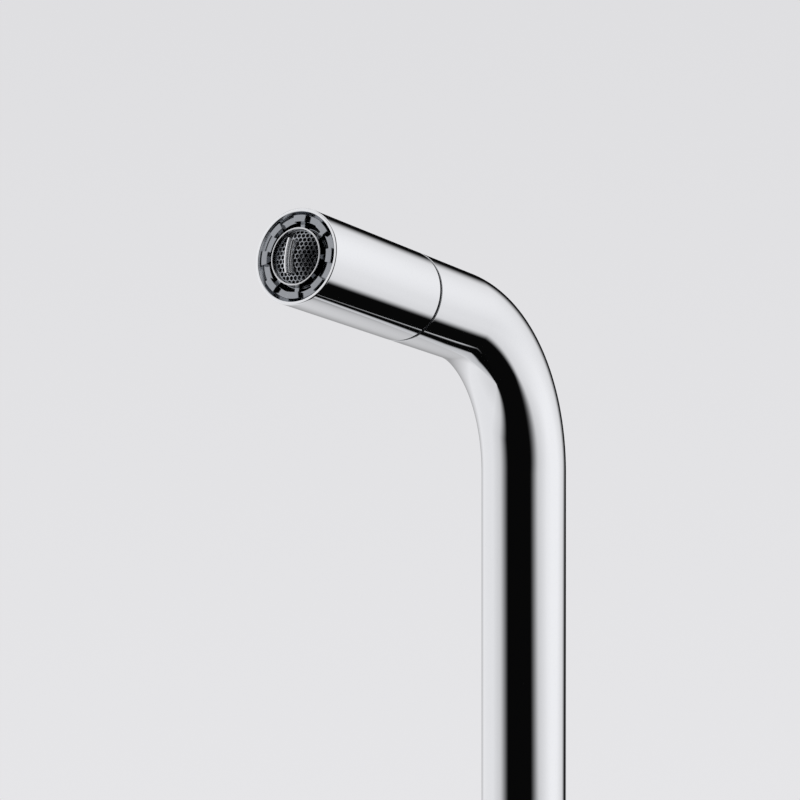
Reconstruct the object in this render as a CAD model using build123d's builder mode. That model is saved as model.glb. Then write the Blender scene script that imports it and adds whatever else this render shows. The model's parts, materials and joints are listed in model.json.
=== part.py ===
"""Kitchen mixer with a pull-out spray head on an L-shaped tube spout.

Millimetres. The origin is on the spout's swivel axis at the worktop, +Z is up, the spray head
points to -Y and rises a little, and the lever is on the +X side.
"""
import os
from math import asin, ceil, cos, degrees, radians, sin, sqrt

from build123d import *

# Fits shared by many pieces
running_gap = 0.05        # radial, shaft turning or sliding in its hole
seat_gap = 0.3            # between pieces of different moving bodies that come to rest together
thread_gap = 0.02         # radial, screwed and pressed pieces
hose_gap = 0.6            # radial, hose sliding in a passage

# Spout tube, measured from the photograph
tube_radius = 20.0
tube_wall = 1.5
bend_radius = 73.5        # of the tube's centre line
head_rise = 9.0           # degrees, the head's axis above level
bend_start = 270.0        # height above the worktop
neck_run = 45.2           # straight tube between the bend and the seam
seam_gap = 0.5            # visible joint between the tube and the head

# Spray head, measured from the photograph
head_length = 80.1        # seam to spray face
shell_wall = 1.4
lip_rounding = 0.7        # round edge of the mouth
lip_depth = 1.2           # the chamfer inside the mouth
lip_inner = 17.3          # radius of the mouth behind the chamfer
lip_outer = 18.7          # radius where the chamfer meets the rounded lip
mouth_depth = 4.0         # how far the thick mouth reaches in from the face

# Outlet, measured from the photograph
block_count = 8
block_angle = 20.5        # degrees that each raised block spans
block_height = 1.9
block_recess = 0.2        # raised blocks below the face
rim_inner = 14.3          # radius where the dark slots begin
spoke_width = 2.2
spoke_recess = 2.9
slot_inner = 12.9         # radius where the dark slots end
spoke_root = 0.4          # length of a spoke inside the rings that it joins
inner_rim_drop = 0.8      # the ring round the aerator, below the spokes
outlet_thickness = 5.0
aerator_radius = 12.0     # M24x1
aerator_bore = 11.3
aerator_length = 13.0
aerator_proud = 0.3
aerator_edge = 0.25
aerator_fit = 0.15        # radial, to the outlet ring
grid_recess = 1.5
grid_thickness = 1.5
cell_pitch = 2.0          # across flats, wall included
cell_wall = 0.45
blade_length = 14.4
blade_thickness = 0.9
blade_height = 4.6
blade_bow = 1.0           # how far the blade bows out at its middle
blade_lean = 15.0         # degrees, away from straight out
blade_offset = -0.9

# Body
body_radius = 24.0
body_top = 71.0
body_edge = 2.0           # rounding of its upper edge
base_radius = 27.0
base_height = 5.0
base_edge = 1.2
gasket_outer = 25.0
gasket_inner = 21.0
gasket_thickness = 1.5

# Deck fixing
shank_radius = 17.0       # M34x1.5
shank_bore = 15.4
shank_engagement = 9.0    # length screwed into the body
lead_edge = 0.8           # chamfer at the start of a thread or plug-in end
shank_drop = 55.0         # length below the worktop's surface
worktop_space = 30.0      # free height for the worktop
washer_radius = 25.0
rubber_thickness = 3.0
steel_thickness = 2.0
nut_flats = 41.0
nut_height = 8.0
nut_edge = 3.0            # height of the rounding of the nut's corners
nut_face_edge = 0.5

# Water ports in the body's underside
port_radius = 3.46        # core of M8x1
port_depth = 8.0
port_pitch_radius = 11.2
port_angle = 120.0        # of the two inlets, from the mixed-water outlet
supply_drill = 2.5
mixed_drill = 2.8
mixed_drop = 7.0          # mixed-water hole below the cartridge's axis
supply_drop = 3.0         # supply holes below the cartridge's axis

# Spigot and swivel
spigot_radius = 14.5
spigot_length = 37.5
spigot_bore = 10.0
spigot_thread = 12.5      # M25x1.5 foot, screwed into the body's top
spigot_engagement = 7.0
swivel_washer_height = 1.0
swivel_washer_radius = 19.8
bush_bore = 15.0
bush_length = 33.0
slide_ring_height = 4.0
slide_ring_depth = 1.15   # groove depth in the spigot
lower_ring_up = 7.0       # above the body's top
upper_ring_up = 27.0
circlip_height = 1.2
circlip_radius = 16.8
circlip_depth = 1.3
circlip_gap = 6.0
stop_up = 19.0            # stop pin above the body's top
stop_radius = 1.5
stop_depth = 3.5          # pressed into the spigot
stop_reach = 1.8          # beyond the bush's bore
stop_play = 0.5           # degrees of slot left beyond each end of the swing
swivel_swing = 75.0       # degrees to each side
guide_length = 14.0
guide_flange = 12.5
guide_flange_height = 1.5
guide_play = 1.0          # radial, hose in its guide
guide_edge = 1.0

# Hose
hose_radius = 5.5
hose_bore = 3.6
hose_tail_drop = 66.0     # end of the hose below the worktop
crimp_radius = 7.5
crimp_length = 12.0
nipple_radius = 6.0
nipple_length = 14.0
nipple_bore = 3.2
collar_height = 4.0

# Head dock, distances along the head's axis from the seam
dock_length = 30.0
dock_proud = 0.15         # in front of the tube's end
tail_radius = 14.95
tail_wall = 2.25
tail_length = 24.0
magnet_back = 5.5
magnet_length = 4.0
magnet_depth = 2.4
keeper_length = 2.0
keeper_inner = 15.8

# Hose coupling, distances along the head's axis from the seam
stub_radius = 10.4        # G1/2
stub_bore = 7.5
stub_length = 12.0
coupling_radius = 12.2
coupling_back = 20.0
coupling_wall = 2.6
coupling_front = 4.0
coupling_edge = 2.0
washer_thickness = 2.9
washer_bore = 4.0
nipple_flange_radius = 9.2
nipple_flange_height = 2.2
shaft_radius = 4.0
shaft_bore = 2.5
barb_length = 10.3
ferrule_radius = 7.8
ferrule_back = 36.0
ferrule_wall = 1.0
hose_front = 24.0

# Check valve, distances along the head's axis from the seam
valve_back = 9.0
valve_front = 2.0
valve_wall = 1.5
valve_seat_radius = 3.6
valve_cavity_radius = 6.0
poppet_radius = 4.6
poppet_thickness = 1.3
poppet_stem = 1.2
poppet_stem_proud = 0.5   # beyond the spider's back when closed
spider_pitch_radius = 3.6
spider_hole = 1.3
spring_radius = 3.2
spring_wire = 0.6
filter_thickness = 2.0
filter_pitch = 2.2
filter_hole = 0.7

# Inside the head, distances back from the spray face
core_radius = 18.45
core_waist = 13.0
core_back_thickness = 8.0
core_front_thickness = 22.0
waterway_radius = 5.0
chamber_depth = 14.0
outlet_back = 7.0
channel_depth = 5.0

# Aerator, from back to front
seal_fit = 0.1
seal_width = 2.5
ledge_height = 1.0        # the housing's inner ledge that holds the core
ledge_width = 1.0
jet_plate = 2.0
jet_cup_height = 5.0      # plate and skirt
jet_cup_wall = 1.2
jet_radius = 0.6
inner_jets = 8
inner_jets_radius = 4.5
outer_jets = 14
outer_jets_radius = 8.0
screen_thickness = 0.6
screen_pitch = 2.6
screen_hole = 0.8

# Cartridge and lever, distances along +X from the swivel axis
cartridge_height = 40.0
seat_x = 15.5
boss_radius = 22.0
boss_x = 39.5
cartridge_radius = 17.5
cartridge_fit = 0.1
shoulder_x = 34.0
neck_radius = 14.0
neck_x = 40.0
housing_base = 3.0
cavity_radius = 15.0
cavity_x = 32.0
rotor_bore = 11.4
seal_outer = 4.2
seal_inner = 2.9
seal_height = 1.5
disc_radius = 14.8
disc_thickness = 3.5
mover_radius = 11.0
mover_thickness = 2.4
carrier_thickness = 5.0
pocket_width = 7.0        # pocket that joins the ports
nut_ring_radius = 19.9
nut_ring_length = 5.0
key_radius = 1.6          # holes for the nut's key
key_depth = 2.0
pivot_x = 36.0
stem_radius = 3.2
stem_arm = 8.0            # pivot to the centre of the stem's ball
ball_radius = 2.9
stem_neck_radius = 2.2
stem_end_x = 62.0
stem_edge = 0.4
pin_radius = 1.2
pin_inset = 0.6           # pin's ends inside the rotor's face
rotor_flange_thickness = 1.9
rotor_end_x = 41.5
lever_tilt = 25.0         # degrees from closed to fully open
lever_turn = 45.0         # degrees to cold and to hot
dome_radius = 18.0
dome_wall = 1.2
dome_flange = 1.0
dome_edge = 0.4
hub_radius = 17.0
hub_x = 50.5
hub_end_x = 67.0
hub_edge = 1.5
hub_back_edge = 0.5
hub_gap = 0.5             # between the dome and the hub's hollow
arm_radius = 4.0
arm_x = 59.0
arm_reach = 68.0          # tip above the cartridge's axis
arm_tip_flat = 0.2        # radius of the flat left on the rounded tip
screw_radius = 2.0
screw_length = 6.0
screw_socket = 2.0        # across flats, and deep
plug_radius = 2.5
plug_length = 2.0

# Places and directions worked out from the sizes
bend_turn = 90.0 - head_rise
foot_z = body_top + swivel_washer_height + running_gap
tube_bore = tube_radius - tube_wall
bend_axis = Axis((0, -bend_radius, bend_start), (1, 0, 0))
bend_end_y = -bend_radius * (1 - cos(radians(bend_turn)))
bend_end_z = bend_start + bend_radius * sin(radians(bend_turn))
head_direction = Vector(0, -sin(radians(bend_turn)), cos(radians(bend_turn)))
bend_end = Plane(origin=(0, bend_end_y, bend_end_z), x_dir=(1, 0, 0), z_dir=head_direction)
seam = bend_end.offset(neck_run)
spray_face = seam.offset(head_length)
cartridge = Plane(origin=(0, 0, cartridge_height), x_dir=(0, 1, 0), z_dir=(1, 0, 0))
inlet_places = PolarLocations(port_pitch_radius, 2, start_angle=port_angle, angular_range=360 - port_angle)
supply_side = port_pitch_radius * sin(radians(port_angle))
supply_back = port_pitch_radius * cos(radians(port_angle))


def disc(plane, radius, height, mode=Mode.ADD):
    """Add or cut a round disc that stands on a plane."""
    with BuildSketch(plane) as outline:
        Circle(radius)
    extrude(outline.sketch, amount=height, mode=mode)


def ring(plane, outer, inner, height, mode=Mode.ADD):
    """Add or cut a round ring that stands on a plane."""
    with BuildSketch(plane) as outline:
        Circle(outer)
        Circle(inner, mode=Mode.SUBTRACT)
    extrude(outline.sketch, amount=height, mode=mode)


def holes(plane, places, radius, depth):
    """Cut the same round hole at each place on a plane."""
    with BuildSketch(plane) as outline:
        with places:
            Circle(radius)
    extrude(outline.sketch, amount=depth, mode=Mode.SUBTRACT)


def spout_pipe(outer, inner, start_z, run):
    """Add a pipe that rises from start_z, takes the bend and runs on along the head's axis."""
    ring(Plane.XY.offset(start_z), outer, inner, bend_start - start_z)
    with BuildSketch(Plane.XY.offset(bend_start)) as section:
        Circle(outer)
        Circle(inner, mode=Mode.SUBTRACT)
    revolve(section.sketch, axis=bend_axis, revolution_arc=bend_turn)
    ring(bend_end, outer, inner, run)


# Base ring: chrome trim under the body, grooved for its gasket
with BuildPart() as base_ring:
    ring(Plane.XY, base_radius, shank_radius + hose_gap, base_height)
    top_edges = edges().filter_by(GeomType.CIRCLE).group_by(Axis.Z)[-1]
    chamfer(top_edges.sort_by(SortBy.RADIUS)[-1], base_edge)
    ring(Plane.XY, gasket_outer, gasket_inner, gasket_thickness, Mode.SUBTRACT)
base_ring.part.label = "base_ring"

# Gasket in the base ring's groove, flush with its underside
with BuildPart() as base_gasket:
    ring(Plane.XY, gasket_outer - thread_gap, gasket_inner + thread_gap, gasket_thickness)
base_gasket.part.label = "base_gasket"

# Body casting: upright barrel with a side boss for the cartridge
with BuildPart() as body_casting:
    disc(Plane.XY.offset(base_height), body_radius, body_top - base_height)
    fillet(edges().group_by(Axis.Z)[-1], body_edge)
    disc(cartridge, boss_radius, boss_x)
    # hose passage, and the threaded sockets for the spigot and the shank
    disc(Plane.XY.offset(base_height), hose_radius + hose_gap, body_top, Mode.SUBTRACT)
    spigot_foot = Plane.XY.offset(body_top - spigot_engagement)
    disc(spigot_foot, spigot_thread + thread_gap, body_top, Mode.SUBTRACT)
    disc(Plane.XY.offset(base_height), shank_radius + thread_gap, shank_engagement, Mode.SUBTRACT)
    # cartridge bore with its nut thread
    disc(cartridge.offset(seat_x), cartridge_radius + cartridge_fit, boss_x, Mode.SUBTRACT)
    disc(cartridge.offset(shoulder_x), nut_ring_radius + thread_gap, boss_x, Mode.SUBTRACT)
    # threaded ports in the underside and the drillings from them to the cartridge's seat
    port_roof = base_height + shank_engagement
    holes(Plane.XY.offset(port_roof), PolarLocations(port_pitch_radius, 3), port_radius, port_depth)
    supply_rise = cartridge_height - supply_drop - port_roof
    holes(Plane.XY.offset(port_roof), inlet_places, supply_drill, supply_rise)
    mixed_rise = cartridge_height - mixed_drop - port_roof
    holes(Plane.XY.offset(port_roof), Locations((port_pitch_radius, 0)), mixed_drill, mixed_rise)
    supply_ends = Locations((-supply_side, -supply_drop), (supply_side, -supply_drop))
    holes(cartridge.offset(supply_back), supply_ends, supply_drill, seat_x - supply_back)
    mixed_run = seat_x - port_pitch_radius
    holes(cartridge.offset(port_pitch_radius), Locations((0, -mixed_drop)), mixed_drill, mixed_run)
body_casting.part.label = "body_casting"

# Spigot: screwed into the body's top, and the spout turns on it
with BuildPart() as spout_spigot:
    disc(spigot_foot, spigot_thread, spigot_engagement)
    disc(Plane.XY.offset(body_top), spigot_radius, spigot_length)
    disc(spigot_foot, spigot_bore, spigot_engagement + spigot_length, Mode.SUBTRACT)
    # grooves for the slide rings and the circlip, and the stop pin's hole
    for up in (lower_ring_up, upper_ring_up):
        groove_floor = spigot_radius - slide_ring_depth
        ring(Plane.XY.offset(body_top + up), spigot_radius, groove_floor, slide_ring_height, Mode.SUBTRACT)
    circlip_z = foot_z + bush_length + seat_gap
    circlip_floor = spigot_radius - circlip_depth
    ring(Plane.XY.offset(circlip_z), spigot_radius, circlip_floor, circlip_height, Mode.SUBTRACT)
    stop_plane = Plane(origin=(0, spigot_radius - stop_depth, body_top + stop_up), z_dir=(0, 1, 0))
    disc(stop_plane, stop_radius + thread_gap, stop_depth + stop_reach, Mode.SUBTRACT)
spout_spigot.part.label = "spout_spigot"

# Threaded shank: holds the body down through the worktop's hole
with BuildPart() as shank:
    ring(Plane.XY.offset(-shank_drop), shank_radius, shank_bore, shank_drop + port_roof)
    chamfer(edges().group_by(Axis.Z)[0].sort_by(SortBy.RADIUS)[-1], lead_edge)
shank.part.label = "shank"

# Rubber washer, steel washer and nut under the worktop
with BuildPart() as rubber_washer:
    washer_bottom = -worktop_space - rubber_thickness
    ring(Plane.XY.offset(washer_bottom), washer_radius, shank_radius + hose_gap, rubber_thickness)
rubber_washer.part.label = "rubber_washer"

with BuildPart() as steel_washer:
    steel_bottom = washer_bottom - steel_thickness
    ring(Plane.XY.offset(steel_bottom), washer_radius, shank_radius + hose_gap, steel_thickness)
steel_washer.part.label = "steel_washer"

with BuildPart() as shank_nut:
    with BuildSketch(Plane.XY.offset(steel_bottom - nut_height)):
        RegularPolygon(nut_flats / 2, 6, major_radius=False)
        Circle(shank_radius + thread_gap, mode=Mode.SUBTRACT)
    extrude(amount=nut_height)
    # rounded-off corners on the underside, as turned from hexagon bar
    with BuildSketch(Plane.XZ):
        with BuildLine():
            corner = nut_flats / 2 / cos(radians(30))
            low = steel_bottom - nut_height
            inner_end = (nut_flats / 2 - nut_face_edge, low)
            Polyline((corner + 1, low - 1), inner_end, (corner + 1, low + nut_edge), close=True)
        make_face()
    revolve(axis=Axis.Z, mode=Mode.SUBTRACT)
shank_nut.part.label = "shank_nut"

# Swivel washer between the body's shoulder and the spout's foot
with BuildPart() as swivel_washer:
    ring(Plane.XY.offset(body_top), swivel_washer_radius, spigot_radius + thread_gap, swivel_washer_height)
swivel_washer.part.label = "swivel_washer"

# Slide rings in the spigot's grooves, on which the spout's bush turns
with BuildPart() as lower_slide_ring:
    ring(Plane.XY.offset(body_top + lower_ring_up), bush_bore - running_gap, groove_floor + thread_gap,
         slide_ring_height)
lower_slide_ring.part.label = "lower_slide_ring"

with BuildPart() as upper_slide_ring:
    ring(Plane.XY.offset(body_top + upper_ring_up), bush_bore - running_gap, groove_floor + thread_gap,
         slide_ring_height)
upper_slide_ring.part.label = "upper_slide_ring"

# Circlip that keeps the spout on the spigot, with its gap
with BuildPart() as spout_circlip:
    ring(Plane.XY.offset(circlip_z), circlip_radius, circlip_floor + thread_gap, circlip_height)
    with BuildSketch(Plane.XY.offset(circlip_z)):
        with Locations((0, -circlip_radius)):
            Rectangle(circlip_gap, circlip_radius)
    extrude(amount=circlip_height, mode=Mode.SUBTRACT)
spout_circlip.part.label = "spout_circlip"

# Stop pin: limits the spout's swing in the bush's slot
with BuildPart() as stop_pin:
    disc(stop_plane, stop_radius, bush_bore + stop_reach - spigot_radius + stop_depth)
stop_pin.part.label = "stop_pin"

# Plastic guide in the spigot's mouth that keeps the hose off the metal edge
with BuildPart() as hose_guide:
    spigot_top = body_top + spigot_length
    guide_bore = hose_radius + guide_play
    ring(Plane.XY.offset(spigot_top), guide_flange, guide_bore, guide_flange_height)
    ring(Plane.XY.offset(spigot_top - guide_length), spigot_bore - thread_gap, guide_bore, guide_length)
    fillet(edges().group_by(Axis.Z)[-1].sort_by(SortBy.RADIUS)[0], guide_edge)
hose_guide.part.label = "hose_guide"

# Cartridge housing: cup with three ports in its base, held by the nut on its shoulder
port_ends = Locations((-supply_side, -supply_drop), (supply_side, -supply_drop), (0, -mixed_drop))
with BuildPart() as cartridge_housing:
    disc(cartridge.offset(seat_x), cartridge_radius, shoulder_x - seat_x)
    disc(cartridge.offset(shoulder_x), neck_radius, neck_x - shoulder_x)
    floor_x = seat_x + housing_base
    disc(cartridge.offset(floor_x), cavity_radius, cavity_x - floor_x, Mode.SUBTRACT)
    disc(cartridge.offset(cavity_x), rotor_bore, neck_x - cavity_x, Mode.SUBTRACT)
    holes(cartridge.offset(seat_x), port_ends, supply_drill, housing_base)
    holes(cartridge.offset(seat_x), port_ends, seal_outer + thread_gap, seal_height)
cartridge_housing.part.label = "cartridge_housing"

# Three port seals under the cartridge
with BuildPart() as cartridge_seals:
    with BuildSketch(cartridge.offset(seat_x)):
        with port_ends:
            Circle(seal_outer)
        with port_ends:
            Circle(seal_inner, mode=Mode.SUBTRACT)
    extrude(amount=seal_height)
cartridge_seals.part.label = "cartridge_seals"

# Fixed ceramic disc on the housing's floor
with BuildPart() as fixed_disc:
    disc(cartridge.offset(floor_x), disc_radius, disc_thickness)
    holes(cartridge.offset(floor_x), port_ends, supply_drill, disc_thickness)
fixed_disc.part.label = "fixed_disc"

# Ring nut that presses the cartridge down
with BuildPart() as cartridge_nut:
    ring(cartridge.offset(shoulder_x), nut_ring_radius, neck_radius + cartridge_fit, nut_ring_length)
    key_places = PolarLocations((nut_ring_radius + neck_radius) / 2, 4)
    key_floor = cartridge.offset(shoulder_x + nut_ring_length - key_depth)
    holes(key_floor, key_places, key_radius, key_depth)
cartridge_nut.part.label = "cartridge_nut"

# Lever dome: polished cap over the nut, with a hole shaped to the stem's sweep
pivot = Vector(pivot_x, 0, cartridge_height)
sweep_side = dome_radius * sin(radians(lever_tilt))
with BuildPart() as lever_dome:
    with BuildSketch(Plane(origin=pivot, x_dir=(1, 0, 0), z_dir=(0, -1, 0))):
        Circle(dome_radius)
        Circle(dome_radius - dome_wall, mode=Mode.SUBTRACT)
        with Locations((boss_x - pivot_x, 0)):
            Rectangle(2 * dome_radius, dome_radius, align=(Align.MIN, Align.MIN), mode=Mode.INTERSECT)
    revolve(axis=Axis(pivot, (1, 0, 0)))
    ring(cartridge.offset(boss_x), boss_radius, dome_radius - dome_wall, dome_flange)
    fillet(edges().filter_by(GeomType.CIRCLE).sort_by(SortBy.RADIUS)[-1], dome_edge)
    stem_ends = [(0, 0)]
    for turn in (-lever_turn, 0.0, lever_turn):
        stem_ends.append((sweep_side * sin(radians(turn)), -sweep_side * cos(radians(turn))))
    with BuildSketch(cartridge.offset(pivot_x)):
        with Locations(*stem_ends):
            Circle(stem_radius + hose_gap)
        make_hull()
    extrude(amount=dome_radius + 1, mode=Mode.SUBTRACT)
lever_dome.part.label = "lever_dome"

# Cartridge rotor: turns in the housing's neck and carries the stem's pin
with BuildPart() as cartridge_rotor:
    carrier_end_x = floor_x + disc_thickness + running_gap + mover_thickness + carrier_thickness
    flange_x = carrier_end_x + seat_gap
    disc(cartridge.offset(flange_x), cavity_radius - seat_gap, rotor_flange_thickness)
    disc(cartridge.offset(flange_x), rotor_bore - running_gap, rotor_end_x - flange_x)
    # slot in which the stem tilts
    with BuildSketch(cartridge.offset(flange_x)):
        Rectangle(2 * (stem_radius + seat_gap), 4 * stem_radius)
    extrude(amount=rotor_end_x - flange_x, mode=Mode.SUBTRACT)
    pin_plane = Plane(origin=(pivot_x, -rotor_bore, cartridge_height), z_dir=(0, 1, 0))
    disc(pin_plane, pin_radius + thread_gap, 2 * rotor_bore, Mode.SUBTRACT)
cartridge_rotor.part.label = "cartridge_rotor"

# Pin that the stem tilts on
with BuildPart() as stem_pin:
    pin_half = rotor_bore - pin_inset
    disc(pin_plane.offset(pin_inset), pin_radius, 2 * pin_half)
stem_pin.part.label = "stem_pin"

# Moving ceramic disc, with the pocket that joins the ports
mover_x = floor_x + disc_thickness + running_gap
with BuildPart() as moving_disc:
    disc(cartridge.offset(mover_x), mover_radius, mover_thickness)
    with BuildSketch(cartridge.offset(mover_x)):
        with Locations((0, -mixed_drop / 2)):
            Rectangle(pocket_width, mixed_drop)
    extrude(amount=mover_thickness / 2, mode=Mode.SUBTRACT)
moving_disc.part.label = "moving_disc"

# Disc carrier: the stem's ball pushes it and the moving disc along
with BuildPart() as disc_carrier:
    disc(cartridge.offset(mover_x + mover_thickness), mover_radius, carrier_thickness)
    socket_floor = cartridge.offset(mover_x + mover_thickness + seat_gap)
    disc(socket_floor, ball_radius + seat_gap, carrier_thickness, Mode.SUBTRACT)
disc_carrier.part.label = "disc_carrier"

# Stem: ball, neck and shaft up into the lever's hub
with BuildPart() as cartridge_stem:
    ball_x = pivot_x - stem_arm
    with BuildSketch(Plane(origin=(ball_x, 0, cartridge_height), x_dir=(1, 0, 0), z_dir=(0, -1, 0))):
        Circle(ball_radius)
        Rectangle(2 * ball_radius, ball_radius, align=(Align.CENTER, Align.MIN), mode=Mode.INTERSECT)
    revolve(axis=Axis((ball_x, 0, cartridge_height), (1, 0, 0)))
    disc(cartridge.offset(ball_x), stem_neck_radius, stem_arm)
    shaft_x = pivot_x - stem_radius
    disc(cartridge.offset(shaft_x), stem_radius, stem_end_x - shaft_x)
    chamfer(edges().sort_by(Axis.X)[-1], stem_edge)
    disc(pin_plane, pin_radius + running_gap, 2 * rotor_bore, Mode.SUBTRACT)
cartridge_stem.part.label = "cartridge_stem"

# Lever: hub with a round hollow over the dome, and the thin upright arm
screw_x = (pivot_x + dome_radius + hub_gap + stem_end_x) / 2
with BuildPart() as lever_handle:
    disc(cartridge.offset(hub_x), hub_radius, hub_end_x - hub_x)
    fillet(edges().group_by(Axis.X)[-1], hub_edge)
    chamfer(edges().group_by(Axis.X)[0], hub_back_edge)
    disc(Plane(origin=(arm_x, 0, cartridge_height)), arm_radius, arm_reach)
    fillet(edges().sort_by(Axis.Z)[-1], arm_radius - arm_tip_flat)
    with Locations(pivot):
        Sphere(dome_radius + hub_gap, rotation=(0, 90, 0), mode=Mode.SUBTRACT)
    disc(cartridge.offset(pivot_x), stem_radius + thread_gap, stem_end_x - pivot_x, Mode.SUBTRACT)
    # set-screw hole from below, with a wider mouth for the plug
    screw_plane = Plane(origin=(screw_x, 0, cartridge_height), x_dir=(1, 0, 0), z_dir=(0, 0, -1))
    disc(screw_plane, screw_radius + thread_gap, hub_radius, Mode.SUBTRACT)
    plug_plane = screw_plane.offset(hub_radius - plug_length)
    disc(plug_plane, plug_radius + thread_gap, 2 * plug_length, Mode.SUBTRACT)
lever_handle.part.label = "lever_handle"

# Set screw with its hexagon socket, tight against the stem
with BuildPart() as set_screw:
    screw_point = stem_radius + thread_gap
    disc(screw_plane.offset(screw_point), screw_radius, screw_length)
    with BuildSketch(screw_plane.offset(screw_point + screw_length)):
        RegularPolygon(screw_socket / 2, 6, major_radius=False)
    extrude(amount=-screw_socket, mode=Mode.SUBTRACT)
set_screw.part.label = "set_screw"

# Plug that closes the set-screw hole
with BuildPart() as index_plug:
    disc(plug_plane, plug_radius, plug_length - seat_gap)
index_plug.part.label = "index_plug"

# Spout tube
with BuildPart() as spout_tube:
    spout_pipe(tube_radius, tube_bore, foot_z, neck_run - seam_gap / 2)
spout_tube.part.label = "spout_tube"

# Bush in the spout's foot, with the slot for the stop pin
with BuildPart() as spout_bush:
    ring(Plane.XY.offset(foot_z), tube_bore - thread_gap, bush_bore, bush_length)
    slot_half = swivel_swing + degrees(asin(stop_radius / bush_bore)) + stop_play
    slot_side = Vector(1, 0, 0).rotate(Axis.Z, 90 - slot_half)
    slot_face = slot_side.cross(Vector(0, 0, 1))
    slot_start = Plane(origin=(0, 0, body_top + stop_up), x_dir=slot_side, z_dir=slot_face)
    with BuildSketch(slot_start) as slot_section:
        with Locations((bush_bore - running_gap, 0)):
            slot_depth = tube_bore - bush_bore + 2 * running_gap
            slot_height = 2 * (stop_radius + seat_gap)
            Rectangle(slot_depth, slot_height, align=(Align.MIN, Align.CENTER))
    revolve(slot_section.sketch, axis=Axis.Z, revolution_arc=2 * slot_half, mode=Mode.SUBTRACT)
spout_bush.part.label = "spout_bush"

# Dock guide: plastic sleeve in the spout's mouth that takes the head's tail
dock_bore = tail_radius + seat_gap
with BuildPart() as dock_guide:
    dock_front = -seam_gap / 2 + dock_proud
    ring(seam.offset(dock_front - dock_length), tube_bore - thread_gap, dock_bore, dock_length)
    magnet_floor = tube_bore - magnet_depth
    ring(seam.offset(-magnet_back), tube_radius, magnet_floor, magnet_length, Mode.SUBTRACT)
dock_guide.part.label = "dock_guide"

# Ring magnet round the dock guide, which holds the head in place
with BuildPart() as dock_magnet:
    ring(seam.offset(-magnet_back), tube_bore - thread_gap, magnet_floor + thread_gap, magnet_length)
dock_magnet.part.label = "dock_magnet"

# Spray hose, from its tail below the worktop to the ferrule behind the head
with BuildPart() as spray_hose:
    spout_pipe(hose_radius, hose_bore, -hose_tail_drop, neck_run - hose_front)
spray_hose.part.label = "spray_hose"

# Plug-in nipple crimped to the hose's tail
with BuildPart() as hose_tail_nipple:
    tail_plane = Plane.XY.offset(-hose_tail_drop)
    ring(tail_plane, crimp_radius, hose_radius + running_gap, crimp_length)
    disc(tail_plane.offset(-collar_height), crimp_radius, collar_height)
    disc(tail_plane.offset(-collar_height - nipple_length), nipple_radius, nipple_length)
    chamfer(edges().group_by(Axis.Z)[0], lead_edge)
    disc(tail_plane.offset(-collar_height - nipple_length), nipple_bore, collar_height + nipple_length,
         Mode.SUBTRACT)
hose_tail_nipple.part.label = "hose_tail_nipple"

# Ferrule crimped round the hose's front end
with BuildPart() as hose_ferrule:
    hose_end = seam.offset(-hose_front + seat_gap)
    ferrule_length = ferrule_back - hose_front + seat_gap
    ring(seam.offset(-ferrule_back), ferrule_radius, hose_radius + running_gap, ferrule_length)
    ring(hose_end, ferrule_radius, shaft_radius + thread_gap, ferrule_wall)
hose_ferrule.part.label = "hose_ferrule"

# Swivel nipple: barb in the hose, shaft through the coupling nut and the flange that seals in it
coupling_room = seam.offset(-coupling_back + coupling_wall)
with BuildPart() as swivel_nipple:
    flange_back = -coupling_back + coupling_wall + 4 * running_gap
    flange_plane = seam.offset(flange_back)
    disc(hose_end.offset(-barb_length), hose_bore - running_gap, barb_length)
    disc(hose_end, shaft_radius, flange_back + hose_front - seat_gap)
    disc(flange_plane, nipple_flange_radius, nipple_flange_height)
    bore_length = barb_length + flange_back + hose_front - seat_gap + nipple_flange_height
    disc(hose_end.offset(-barb_length), shaft_bore, bore_length, Mode.SUBTRACT)
swivel_nipple.part.label = "swivel_nipple"

# Coupling nut on the head's inlet, which the nipple turns in
with BuildPart() as coupling_nut:
    disc(seam.offset(-coupling_back), coupling_radius, coupling_back - coupling_front)
    chamfer(edges().sort_by(Axis.Y)[-1], coupling_edge)
    disc(coupling_room, stub_radius + thread_gap, coupling_back, Mode.SUBTRACT)
    disc(seam.offset(-coupling_back), shaft_radius + 2 * seat_gap, coupling_wall, Mode.SUBTRACT)
coupling_nut.part.label = "coupling_nut"

# Washer between the nipple's flange and the head's inlet
with BuildPart() as coupling_washer:
    washer_height = washer_thickness - 2 * running_gap
    washer_back = seam.offset(-stub_length - washer_height)
    ring(washer_back, stub_radius - seat_gap, washer_bore, washer_height)
coupling_washer.part.label = "coupling_washer"

# Head core: tail that slides in the dock, inlet stub, waterway and outlet chamber
with BuildPart() as head_core:
    core_back = seam.offset(dock_front + seat_gap)
    back_length = dock_front + seat_gap
    ring(seam.offset(-tail_length), tail_radius, tail_radius - tail_wall, tail_length + back_length)
    disc(seam.offset(-stub_length), stub_radius, stub_length + back_length)
    disc(core_back, core_radius, core_back_thickness)
    disc(core_back, core_waist, head_length - outlet_back - back_length)
    disc(spray_face.offset(-core_front_thickness - outlet_back), core_radius, core_front_thickness)
    # inlet and waterway
    disc(seam.offset(-stub_length), stub_bore, stub_length + valve_front, Mode.SUBTRACT)
    disc(seam.offset(valve_front), waterway_radius, head_length - chamber_depth - valve_front, Mode.SUBTRACT)
    # threaded chamber for the aerator and the ring channel behind the outlet's slots
    disc(spray_face.offset(-chamber_depth), aerator_radius + thread_gap, chamber_depth, Mode.SUBTRACT)
    ring(spray_face.offset(-outlet_back - channel_depth), rim_inner, slot_inner, channel_depth, Mode.SUBTRACT)
    # seat for the steel keeper ring
    ring(core_back, core_radius, keeper_inner, keeper_length, Mode.SUBTRACT)
head_core.part.label = "head_core"

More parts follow.
